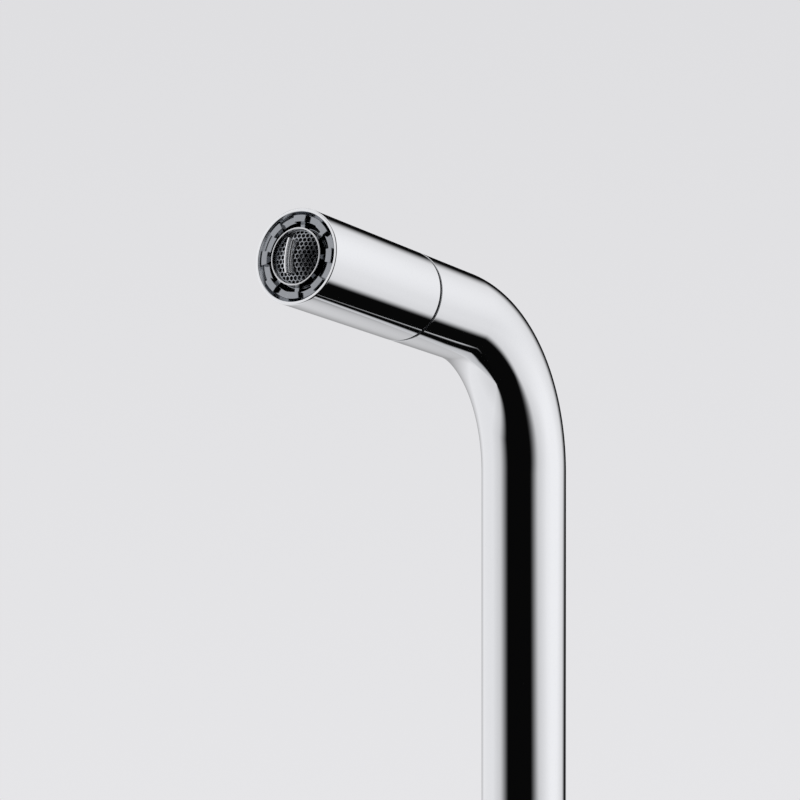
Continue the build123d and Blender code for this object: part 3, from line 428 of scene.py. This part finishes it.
# Spout tube: drawn brass tube, bent once over a mandrel, polished and chromed. Its two cut ends are deburred,
# and it turns on the body with the bush pressed into its foot.
tube_radius, tube_wall, tube_sides = 20.0, 1.5, 192
foot_z, bend_start, bend_radius, bend_steps, neck_run = 72.05, 270.0, 73.5, 96, 45.2
bend_turn = math.radians(81)
seam_gap = 1.7
head_direction = Vector((0, -math.sin(bend_turn), math.cos(bend_turn)))
bend_end = Vector((0, -bend_radius * (1 - math.cos(bend_turn)),
                   bend_start + bend_radius * math.sin(bend_turn)))
seam = (bend_end + neck_run * head_direction) * mm
head_frame = Matrix.Translation(seam) @ Matrix(((1, 0, 0), (0, head_direction.z, head_direction.y),
                                                (0, -head_direction.y, head_direction.z))).to_4x4()


def pipe(radius, sides, start_z, steps, run):
    """Leave in edit mode the wall of a pipe that rises, takes the bend and starts along the head's axis."""
    bpy.ops.object.select_all(action="DESELECT")
    bpy.ops.mesh.primitive_circle_add(vertices=sides, radius=radius * mm)
    bpy.ops.object.mode_set(mode="EDIT")
    bpy.ops.transform.translate(value=(0, 0, start_z * mm))
    straight = (0, 0, (bend_start - start_z) * mm)
    bpy.ops.mesh.extrude_region_move(TRANSFORM_OT_translate={"value": straight})
    # with no window, a spin turns the other way
    bpy.ops.mesh.spin(steps=steps, angle=-bend_turn, center=(0, -bend_radius * mm, bend_start * mm),
                      axis=(1, 0, 0))
    bpy.ops.mesh.extrude_region_move(TRANSFORM_OT_translate={"value": run * mm * head_direction})


def walled(thickness):
    """Give an open pipe its wall, inwards."""
    bpy.ops.mesh.select_all(action="SELECT")
    bpy.ops.mesh.normals_make_consistent(inside=False)
    bpy.ops.object.mode_set(mode="OBJECT")
    modified(bpy.context.object, "SOLIDIFY", thickness=thickness * mm, offset=-1)
    bpy.ops.object.mode_set(mode="EDIT")


pipe(tube_radius, tube_sides, foot_z, bend_steps, neck_run - seam_gap / 2)
walled(tube_wall)
tube = shaped("drawn_tube", upright, edge=0.2)
tube.data.materials.append(chrome)
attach(tube, "spout")
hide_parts("spout_tube")


# Dock guide: sleeve moulded in dark grey acetal and pressed into the spout's mouth, with a seat for the ring
# magnet. Its thin flange is plated. It covers the tube's cut edge and shows as a grey line between the
# chromed rims.
dock_outer, dock_bore, dock_front, dock_length = 18.48, 15.25, -0.1, 30.0
magnet_back, magnet_front, magnet_floor = -5.5, -1.5, 16.1
flange_radius, flange_thickness, flange_back = 19.75, 0.2, -seam_gap / 2
flange_front = flange_back + flange_thickness
lead_in, back_edge, back_bevel, plate_start = 0.8, 0.4, 0.3, 0.2
dock_back = dock_front - dock_length
# moulded acetal: dark grey and half dull
acetal, *_ = surface("moulded_grey_acetal", "#3e4043", 0.0, (0.35, 0.5), 8, 0.6, 0.004)
# satin plate on the flange: a soft grey metal
flange_plate, *_ = surface("satin_plated_flange", "#c4c6c8", 1.0, (0.22, 0.3), 6, 0.3, 0.001)
section = [(dock_bore + back_edge, dock_back), (dock_outer - back_bevel, dock_back),
           (dock_outer, dock_back + lead_in), (dock_outer, magnet_back), (magnet_floor, magnet_back),
           (magnet_floor, magnet_front), (dock_outer, magnet_front), (dock_outer, flange_back),
           (flange_radius, flange_back), (flange_radius, flange_front), (dock_bore + lead_in, flange_front),
           (dock_bore + lead_in, dock_front), (dock_bore, dock_front - lead_in),
           (dock_bore, dock_back + back_edge)]
dock = turned("dock_sleeve", section, head_frame, edge=0.06)
for finish in (acetal, flange_plate):
    dock.data.materials.append(finish)
for face in dock.data.polygons:
    # the plate is on what stands out past the sleeve
    place = head_frame.inverted() @ face.center
    if math.hypot(place.x, place.y) > (dock_outer + plate_start) * mm:
        face.material_index = 1
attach(dock, "spout")
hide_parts("dock_guide")


# Spray hose: rubber tube under a sheath braided from grey nylon yarn. It slides in the spout, and when the
# head is pulled out it feeds up from its loop under the worktop.
hose_radius, hose_wall, hose_tail, hose_front, ferrule_back = 5.5, 1.9, -66.0, 24.0, 36.0
hose_sides, hose_bend_steps, free_steps = 40, 54, 40
free_run = neck_run - ferrule_back
free_step = free_run / free_steps * mm * head_direction
pipe(hose_radius, hose_sides, hose_tail, hose_bend_steps, free_run / free_steps)
for _ in range(free_steps - 1):
    bpy.ops.mesh.extrude_region_move(TRANSFORM_OT_translate={"value": free_step})
held_run = (ferrule_back - hose_front) * mm * head_direction
bpy.ops.mesh.extrude_region_move(TRANSFORM_OT_translate={"value": held_run})
walled(hose_wall)
hose = shaped("braided_hose", upright)
# braided nylon: grey yarns with a soft sheen, with painted light on their backs and painted shade where they
# cross under
sheath, sheath_tree, sheath_shader, place = surface(
    "braided_nylon_sheath", "#74787b", 0.0, (0.5, 0.65), 4, 0.12, 0.01)
yarn_height, yarns_each_way = 0.12, 8
# the weave is laid out round an upright hose. Higher up than this, inside the spout, it is read turned by the
# bend's angle, so on a hose that is pulled out its yarns show as chevrons
turned_from = 200.0
turned_place = add_node(sheath_tree, "ShaderNodeVectorRotate",
                        {0: place, 1: bend_end * mm, "Angle": bend_turn}, rotation_type="X_AXIS")
above = add_node(sheath_tree, "ShaderNodeSeparateXYZ", [place])
above = add_node(sheath_tree, "ShaderNodeMath", [above.outputs[2], turned_from * mm],
                 operation="GREATER_THAN")
centred = add_node(sheath_tree, "ShaderNodeVectorMath", [turned_place, (0, bend_end.y * mm, 0)],
                   operation="SUBTRACT")
run = add_node(sheath_tree, "ShaderNodeMix", {0: above, 4: place, 5: centred}, data_type="VECTOR")
x, y, z = add_node(sheath_tree, "ShaderNodeSeparateXYZ", [run.outputs[1]]).outputs
round_it = add_node(sheath_tree, "ShaderNodeMath", [y, x], operation="ARCTAN2")
yarns = []
for lean in (1, -1):
    # each set of yarns winds the other way round the hose
    wound = add_node(sheath_tree, "ShaderNodeMath", [z, lean / (hose_radius * mm), round_it],
                     operation="MULTIPLY_ADD")
    wave = add_node(sheath_tree, "ShaderNodeMath", [wound, float(yarns_each_way)], operation="MULTIPLY")
    yarns.append(add_node(sheath_tree, "ShaderNodeMath", [wave], operation="SINE"))
over = add_node(sheath_tree, "ShaderNodeMath", yarns, operation="MULTIPLY")
over = add_node(sheath_tree, "ShaderNodeMapRange", [over, -0.6, 0.6, 0, 1], **soft)
# painted light on the yarns' backs and painted shade where they cross under, mixed by the weave
yarn_painted_shade, yarn_painted_light = linear("#4d5154"), linear("#9da1a3")
painted_yarn_light_shade = add_node(sheath_tree, "ShaderNodeMix", {0: over, 6: yarn_painted_shade, 7: yarn_painted_light}, data_type="RGBA")
sheath_tree.links.new(painted_yarn_light_shade.outputs[2], sheath_shader.inputs["Base Color"])
braid = add_node(sheath_tree, "ShaderNodeBump", {"Height": over, "Distance": yarn_height * mm})
sheath_tree.links.new(braid.outputs[0], sheath_shader.inputs["Normal"])
hose.data.materials.append(sheath)
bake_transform(hose)
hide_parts("spray_hose")


# Tail nipple: turned brass, crimped on the hose's lower end. It has two grooves with O-rings and plugs into
# the mixed-water connector.
crimp_mouth, crimp_floor = 0.8, 0.4


def crimps(radius, depth, middles):
    """Section points of the rings that the crimping tool leaves round a sleeve, in millimetres."""
    ring = ((-crimp_mouth, 0), (-crimp_floor, depth), (crimp_floor, depth), (crimp_mouth, 0))
    return [(radius - sunk, middle + step) for middle in middles for step, sunk in ring]


tail_bore, tail_radius, tail_bevel, tail_low, hose_hole = 3.2, 6.0, 0.8, -84, 5.6
seal_grooves, seal_half_width, seal_depth = (-80.6, -76.4), 0.9, 1.2
crimp_radius, crimp_low, crimp_plain, crimp_top, crimp_depth = 7.5, -70, -65.2, -54, 0.55
section = [(tail_bore, tail_low), (tail_radius - tail_bevel, tail_low), (tail_radius, tail_low + tail_bevel)]
for groove in seal_grooves:
    section += [(tail_radius, groove - seal_half_width), (tail_radius - seal_depth, groove - seal_half_width),
                (tail_radius - seal_depth, groove + seal_half_width), (tail_radius, groove + seal_half_width)]
section += [(tail_radius, crimp_low), (crimp_radius, crimp_low), (crimp_radius, crimp_plain)]
section += crimps(crimp_radius, crimp_depth, (-63.4, -60.4, -57.4))
section += [(crimp_radius, crimp_top), (hose_hole, crimp_top), (hose_hole, hose_tail), (tail_bore, hose_tail)]
nipple = turned("crimped_nipple", section, upright, edge=0.12, sides=96)
nipple.data.materials.append(brass)
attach(nipple, "spout")
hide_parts("hose_tail_nipple")


# O-rings: moulded in rubber, one in each groove of the tail nipple. They stand just out of the grooves and
# seal the nipple in its connector.
seal_wire, seal_sink = 0.85, 0.35
for number, groove in enumerate(seal_grooves, 1):
    round_section = arc((tail_radius - seal_sink, groove), seal_wire, 0, 337.5, 15)
    seal = turned(f"nipple_o_ring_{number}", round_section, upright, sides=72)
    seal.data.materials.append(rubber)
    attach(seal, "spout")


# Ferrule: turned brass sleeve, chromed and crimped round the hose's upper end. The swivel nipple stands in
# the hole in its end wall.
ferrule_radius, ferrule_end, ferrule_wall, ferrule_hole, ferrule_depth = 7.8, -23.7, 1.0, 4.02, 0.6
section = [(hose_hole, -ferrule_back), (ferrule_radius, -ferrule_back)]
section += crimps(ferrule_radius, ferrule_depth, (-33.4, -30.6, -27.8))
section += [(ferrule_radius, ferrule_end + ferrule_wall), (ferrule_hole, ferrule_end + ferrule_wall),
            (ferrule_hole, ferrule_end), (hose_hole, ferrule_end)]
ferrule = turned("crimped_ferrule", section, head_frame, edge=0.12, sides=96)
ferrule.data.materials.append(chrome)
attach(ferrule, "hose_end")
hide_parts("hose_ferrule")


# Head shell: turned brass sleeve screwed over the head's core, chromed with the spout. Its mouth has a round
# lip, and the cone inside the lip is plated over a finely turned, satin face.
head_length = 80.1
face_frame = head_frame @ Matrix.Translation((0, 0, head_length * mm))
# satin chrome plate: a soft grey metal that blurs the studio
satin_plate, *_ = surface("satin_chrome_plate", "#a2a5a9", 1.0, (0.12, 0.20), 5, 0.3, 0.001)
# painted highlight: the same plate, brighter and glossier, laid in a thin line where an edge catches the
# light
painted_highlight_plate, *_ = surface("chrome_painted_highlight", "#f0f1f2", 1.0, (0.04, 0.07), 15, 3, 0.001)
shell_bore, lip_inner, lip_rounding, lip_shelf = 18.6, 17.3, 0.45, 4.0
lip_crown, crown_rounding, cone_depth = 18.8, 0.3, 2.1
plate_back, plate_edge, crown_depth = 3.9, 0.15, 0.05
section = [(shell_bore, seam_gap / 2 - head_length), (tube_radius, seam_gap / 2 - head_length)]
section += arc((tube_radius - lip_rounding, -lip_rounding), lip_rounding, 0, 90, 8)
section += arc((lip_crown, -crown_rounding), crown_rounding, 90, 145, 4)
section += [(lip_inner, -cone_depth), (lip_inner, -lip_shelf), (shell_bore, -lip_shelf)]
shell = turned("head_sleeve", section, face_frame, edge=0.25, sides=192)
for finish in (chrome, satin_plate, painted_highlight_plate):
    shell.data.materials.append(finish)
for face in shell.data.polygons:
    # satin inside the lip, and a painted highlight on the lip's crown
    place = face_frame.inverted() @ face.center
    if place.z > -plate_back * mm and math.hypot(place.x, place.y) < (lip_crown - plate_edge) * mm:
        face.material_index = 1
    elif place.z > -crown_depth * mm:
        face.material_index = 2
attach(shell, "spray_head")
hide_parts("head_shell")


# Check valve spring: five coils of stainless wire between the poppet and the valve's spider, wound by
# machine. It shortens as the poppet opens.
spring_back, spring_front, spring_radius, wire, coils = -6.0, 0.4, 3.2, 0.6, 5
wire_sides, coil_steps = 14, 40
bpy.ops.object.select_all(action="DESELECT")
wire_start = ((spring_radius - wire / 2) * mm, 0, (spring_back + wire / 2) * mm)
bpy.ops.mesh.primitive_circle_add(vertices=wire_sides, radius=wire / 2 * mm, rotation=(math.pi / 2, 0, 0),
                                  location=wire_start)
bpy.ops.object.transform_apply(location=True, rotation=True)
spring = bpy.context.object
modified(spring, "SCREW", screw_offset=(spring_front - spring_back - wire) / coils * mm, iterations=coils,
         steps=coil_steps, render_steps=coil_steps, use_merge_vertices=True, merge_threshold=0.01 * mm)
bpy.ops.object.mode_set(mode="EDIT")
bpy.ops.mesh.select_all(action="SELECT")
bpy.ops.mesh.fill_holes(sides=wire_sides)
spring = shaped("coil_spring", head_frame)
spring.data.materials.append(steel)
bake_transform(spring)
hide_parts("check_spring")


# Outlet ring: ABS moulding with a satin chrome plate, pressed into the mouth. Eight raised and eight low
# blocks stand round it, and eight spokes join it to the rim round the aerator, with spray slots between them.
rim_outer, rim_inner, slot_inner, rim_bore = 17.28, 14.5, 12.55, 12.15
block_top, block_height, block_root, outlet_back = 0.2, 1.9, 0.2, 7.0
block_turn, block_steps = 20.5, 12
spoke_width, spoke_depth, spoke_height, spoke_root, rim_depth = 2.2, 2.9, 4.1, 0.4, 4.6
moulding = turned("outlet_rim", [(rim_outer, -outlet_back), (rim_outer, -block_top - block_height),
                                 (rim_inner, -block_top - block_height), (rim_inner, -outlet_back)],
                  face_frame, edge=0.12, sides=192)
moulding_parts = [moulding, turned("outlet_hub", [(rim_bore, -outlet_back), (slot_inner, -outlet_back),
                                                  (slot_inner, -rim_depth), (rim_bore, -rim_depth)],
                                   face_frame, edge=0.12, sides=160)]
block_face = ((rim_outer - rim_inner) * mm, 0, 0)
block_side = (0, 0, -(block_height + block_root) * mm)
for i in range(8):
    # a raised block, its section swept through its own angle
    first_point(rim_inner, -block_top)
    bpy.ops.mesh.extrude_vertices_move(TRANSFORM_OT_translate={"value": block_face})
    bpy.ops.mesh.select_all(action="SELECT")
    bpy.ops.mesh.extrude_region_move(TRANSFORM_OT_translate={"value": block_side})
    bpy.ops.mesh.select_all(action="SELECT")
    bpy.ops.mesh.spin(steps=block_steps, angle=math.radians(block_turn), center=(0, 0, 0), axis=(0, 0, 1))
    turn_by = Matrix.Rotation(math.radians(45 * i + block_turn / 2), 4, "Z")
    moulding_parts.append(shaped(f"outlet_block_{i}", face_frame @ turn_by, edge=0.14))
    # the spoke under it
    bpy.ops.object.select_all(action="DESELECT")
    bpy.ops.mesh.primitive_cube_add(size=1)
    bpy.ops.object.mode_set(mode="EDIT")
    spoke_length = rim_inner - slot_inner + 2 * spoke_root
    bpy.ops.transform.resize(value=(spoke_length * mm, spoke_width * mm, spoke_height * mm))
    spoke_middle = ((rim_inner + slot_inner) / 2 * mm, 0, -(spoke_depth + spoke_height / 2) * mm)
    bpy.ops.transform.translate(value=spoke_middle)
    bpy.ops.mesh.subdivide(number_cuts=1)
    turn_by = Matrix.Rotation(math.radians(45 * i), 4, "Z")
    moulding_parts.append(shaped(f"outlet_spoke_{i}", face_frame @ turn_by, edge=0.15))


def joined(parts, name):
    """Join pieces into one."""
    bpy.ops.object.select_all(action="DESELECT")
    for part in parts:
        part.select_set(True)
    bpy.context.view_layer.objects.active = parts[0]
    bpy.ops.object.join()
    parts[0].name = parts[0].data.name = name
    return parts[0]


outlet = joined(moulding_parts, "outlet_moulding")
outlet.data.materials.clear()
outlet.data.materials.append(satin_plate)
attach(outlet, "spray_head")
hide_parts("outlet_ring")


# Aerator housing: thin turned brass ring, chromed, screwed in behind the rim on an M24x1 thread that isn't
# drawn here. Its rounded edge stands just out of the outlet.
aerator_radius, aerator_bore, aerator_proud, aerator_length = 12.0, 11.3, 0.3, 13.0
ring_edge, shelf_bore, shelf_thickness = 0.16, 10.3, 1.0
aerator_back = aerator_proud - aerator_length
section = [(shelf_bore, aerator_back), (aerator_radius, aerator_back)]
section += arc((aerator_radius - ring_edge, aerator_proud - ring_edge), ring_edge, 0, 90, 4)
section += arc((aerator_bore + ring_edge, aerator_proud - ring_edge), ring_edge, 90, 180, 4)
section += [(aerator_bore, aerator_back + shelf_thickness), (shelf_bore, aerator_back + shelf_thickness)]
aerator = turned("aerator_ring", section, face_frame, edge=0.08, sides=160)
aerator.data.materials.append(chrome)
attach(aerator, "spray_head")
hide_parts("aerator_housing")


# Jet selector: domed honeycomb, moulded in ABS and satin plated, that turns inside the aerator with the
# finger blade. Its walls are 0.42 mm thick on a 2 mm pitch, with softly rounded edges from the mould.
grid_recess, grid_thickness, grid_radius = 1.5, 1.5, 11.2
grid_crown, crown_power, grid_sink = 2.2, 1.3, 0.3
cell_pitch, cell_wall, row_pairs, columns = 2.0, 0.42, 8, 13
trim_gap, trim_height = 0.3, 6
cell_corner = cell_pitch / 2 / math.cos(math.radians(30))
bpy.ops.object.select_all(action="DESELECT")
first_row = -(row_pairs - 1) * math.sqrt(3) * cell_pitch / 2 * mm
bpy.ops.mesh.primitive_circle_add(vertices=6, radius=cell_corner * mm, fill_type="NGON",
                                  location=(0, first_row, 0))
grid = bpy.context.object
bpy.ops.object.transform_apply(location=True)
bpy.ops.object.mode_set(mode="EDIT")
bpy.ops.mesh.inset(thickness=cell_wall / 2 * mm)
bpy.ops.mesh.delete(type="FACE")
bpy.ops.object.mode_set(mode="OBJECT")
row = math.sqrt(3) / 2 * cell_pitch * mm
for count, step in ((2, (cell_pitch / 2 * mm, row, 0)), (row_pairs, (0, 2 * row, 0)),
                    (columns, (cell_pitch * mm, 0, 0))):
    modified(grid, "ARRAY", count=count, use_relative_offset=False, use_constant_offset=True,
             constant_offset_displace=step)
bpy.ops.object.mode_set(mode="EDIT")
bpy.ops.mesh.select_all(action="SELECT")
bpy.ops.mesh.remove_doubles(threshold=0.01 * mm)
bpy.ops.transform.translate(value=(-(columns // 2) * cell_pitch * mm, 0, 0))
bpy.ops.object.mode_set(mode="OBJECT")
modified(grid, "SOLIDIFY", thickness=grid_thickness * mm, offset=-1)
bpy.ops.object.select_all(action="DESELECT")
bpy.ops.mesh.primitive_cylinder_add(vertices=128, radius=(grid_radius - trim_gap) * mm,
                                    depth=trim_height * mm)
carved(grid, bpy.context.object, "INTERSECT")
# keep what hangs together with the middle cell
bpy.ops.object.mode_set(mode="EDIT")
bpy.ops.mesh.select_mode(type="VERT")
bpy.ops.mesh.select_all(action="DESELECT")
bpy.ops.object.mode_set(mode="OBJECT")
middle = min(grid.data.vertices, key=lambda corner: math.hypot(corner.co.x, corner.co.y)).index
grid.data.vertices[middle].select = True
bpy.ops.object.mode_set(mode="EDIT")
bpy.ops.mesh.select_linked()
bpy.ops.mesh.select_all(action="INVERT")
bpy.ops.mesh.delete(type="VERT")
bpy.ops.mesh.select_all(action="SELECT")
bpy.ops.mesh.remove_doubles(threshold=0.05 * mm)
grid = shaped("grid_cells", face_frame @ Matrix.Translation((0, 0, -grid_recess * mm)), edge=0.13, flat=50)
bpy.ops.object.mode_set(mode="EDIT")
bpy.ops.mesh.select_all(action="SELECT")
bpy.ops.mesh.remove_doubles(threshold=0.01 * mm)
bpy.ops.mesh.dissolve_degenerate(threshold=0.005 * mm)
bpy.ops.object.mode_set(mode="OBJECT")
grid_back = -grid_recess - grid_thickness
rim = turned("grid_rim", [(grid_radius - cell_wall, -grid_recess), (grid_radius - cell_wall, grid_back),
                          (grid_radius, grid_back), (grid_radius, -grid_recess)], face_frame, edge=0.08)
grid = joined([grid, rim], "honeycomb")
for corner in grid.data.vertices:
    # raise the dome, highest in the middle
    place = face_frame.inverted() @ corner.co
    out = math.hypot(place.x, place.y) / grid_radius / mm
    lift = grid_crown * max(0, 1 - out ** crown_power) * mm - grid_sink * mm
    corner.co += face_frame.to_3x3() @ Vector((0, 0, lift))
grid.data.materials.clear()
grid.data.materials.append(satin_plate)
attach(grid, "jet_selector")
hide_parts("selector_grid")


# Finger blade: bowed tab on the honeycomb, moulded in ABS and satin plated, that leans a little to the left.
# It stands on a narrow foot, and a finger on it turns the jet.
blade_length, blade_thickness, blade_height, blade_bow, blade_offset = 14.4, 0.9, 4.6, 1.0, -0.9
foot_width, foot_height = 1.4, 2.9
# how far the painted highlight runs down the tab's tip, and the width of its line round the foot's upper edge
painted_highlight_depth, foot_line_below, foot_line_above = 0.4, 0.1, 0.05
blade_lean, bow_steps = math.radians(15), 28
# satin plate on the tab: a pale soft metal, with a painted highlight along its upper edges
tab_plate, *_ = surface("satin_chrome_plate_on_tab", "#dcdee0", 1.0, (0.24, 0.32), 4, 0.3, 0.001)
bow_radius = (blade_length ** 2 / 4 + blade_bow ** 2) / 2 / blade_bow
half_sweep = math.asin(blade_length / 2 / bow_radius)
blade_parts = []
for name, thickness, height, edge in (("blade_tab", blade_thickness, blade_height, 0.14),
                                      ("blade_foot", blade_thickness + foot_width, foot_height, 0.12)):
    # strip along the bow, seen from the front, raised along the lean
    bow_middle = blade_offset - blade_bow + bow_radius
    inner = blade_offset - blade_bow - thickness / 2 - bow_middle
    first_point(inner * math.cos(half_sweep), -grid_recess)
    bpy.ops.transform.translate(value=(bow_middle * mm, inner * math.sin(half_sweep) * mm, 0))
    side = (thickness * math.cos(half_sweep) * mm, thickness * math.sin(half_sweep) * mm, 0)
    bpy.ops.mesh.extrude_vertices_move(TRANSFORM_OT_translate={"value": side})
    bpy.ops.mesh.select_all(action="SELECT")
    bpy.ops.mesh.spin(steps=bow_steps, angle=2 * half_sweep, center=(bow_middle * mm, 0, 0), axis=(0, 0, 1))
    bpy.ops.mesh.select_all(action="SELECT")
    lift = (-height * math.sin(blade_lean) * mm, 0, height * math.cos(blade_lean) * mm)
    bpy.ops.mesh.extrude_region_move(TRANSFORM_OT_translate={"value": lift})
    blade_parts.append(shaped(name, face_frame, edge=edge, flat=40))
blade = joined(blade_parts, "finger_blade")
blade.data.materials.clear()
for finish in (tab_plate, painted_highlight_plate):
    blade.data.materials.append(finish)
for face in blade.data.polygons:
    # the tab's tip and the foot's upper edge carry the painted highlight
    height = ((face_frame.inverted() @ face.center).z / mm + grid_recess) / math.cos(blade_lean)
    on_foot = foot_height - foot_line_below < height < foot_height + foot_line_above
    if on_foot or height > blade_height - painted_highlight_depth:
        face.material_index = 1
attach(blade, "jet_selector")
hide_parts("selector_blade")


# Pieces kept as the model has them: the body casting, the dome and all that is inside. They are mouldings,
# ceramic discs, a ring magnet and turned parts, and each gets the finish of its real material.
finishes = {"polished_chrome": chrome, "brass": brass, "stainless_steel": steel, "dark_plastic": acetal,
            "black_rubber": rubber, "hose_sheath": sheath}
# moulded acetal, in white: bright and half dull
finishes["white_plastic"], *_ = surface("moulded_white_acetal", "#dcdcd6", 0.0, (0.3, 0.42), 8, 0.5, 0.003)
# moulded ABS: plain grey and a little soft
finishes["grey_plastic"], *_ = surface("moulded_grey_abs", "#84888a", 0.0, (0.35, 0.5), 6, 0.4, 0.004)
# lapped alumina ceramic: a hard, milky polish
finishes["ceramic"], *_ = surface("lapped_alumina", "#e9e6df", 0.0, (0.08, 0.14), 6, 0.2, 0.0005)
# sintered ferrite: dark, dull and grainy
finishes["magnet"], *_ = surface("sintered_ferrite", "#2c2c2e", 0.0, (0.45, 0.65), 3, 0.25, 0.006)
for part in frame["record"]["subparts"]:
    node = frame["nodes"][part["node"]]
    node.data.materials.clear()
    node.data.materials.append(finishes[part["material_slot"]])


# Reflections: the polished spout shows the studio, itself and the head. The pieces below it are left out of
# what it shows, because they would darken the inside of its bend.
seen_in_metal = ("drawn_tube", "head_sleeve", "outlet_moulding", "aerator_ring", "honeycomb", "finger_blade",
                 "dock_sleeve")
for piece in bpy.data.objects:
    if piece.type == "MESH" and piece.name not in seen_in_metal:
        piece.visible_glossy = False


# Floor: sheet of matt paper just under the tail nipple, for the views from other sides. It glows a little,
# fades out towards its rim and isn't seen in the metal.
floor_radius, floor_height, fade_start, fade_end, floor_glow = 0.85, -0.0846, 0.25, 0.8, 0.1
bpy.ops.object.select_all(action="DESELECT")
bpy.ops.mesh.primitive_circle_add(vertices=128, radius=floor_radius, fill_type="NGON",
                                  location=(0, 0, floor_height))
bpy.ops.object.transform_apply(location=True)
floor = bpy.context.object
floor.name = "floor"
# matt paper: white and even, without a highlight
paper, paper_tree, paper_shader, place = surface("matt_paper", "#eeeef0", 0.0, (0.7, 0.85), 60, 1.5, 0.02)
away = add_node(paper_tree, "ShaderNodeVectorMath", [place, (1, 1, 0)], operation="MULTIPLY")
away = add_node(paper_tree, "ShaderNodeVectorMath", [away], operation="LENGTH")
whole = add_node(paper_tree, "ShaderNodeMapRange", [away.outputs["Value"], fade_start, fade_end, 1, 0],
                 **soft)
paper_tree.links.new(whole.outputs[0], paper_shader.inputs["Alpha"])
for socket, value in (("Emission Color", (1, 1, 1, 1)), ("Emission Strength", floor_glow)):
    paper_shader.inputs[socket].default_value = value
floor.data.materials.append(paper)
floor.visible_glossy = False
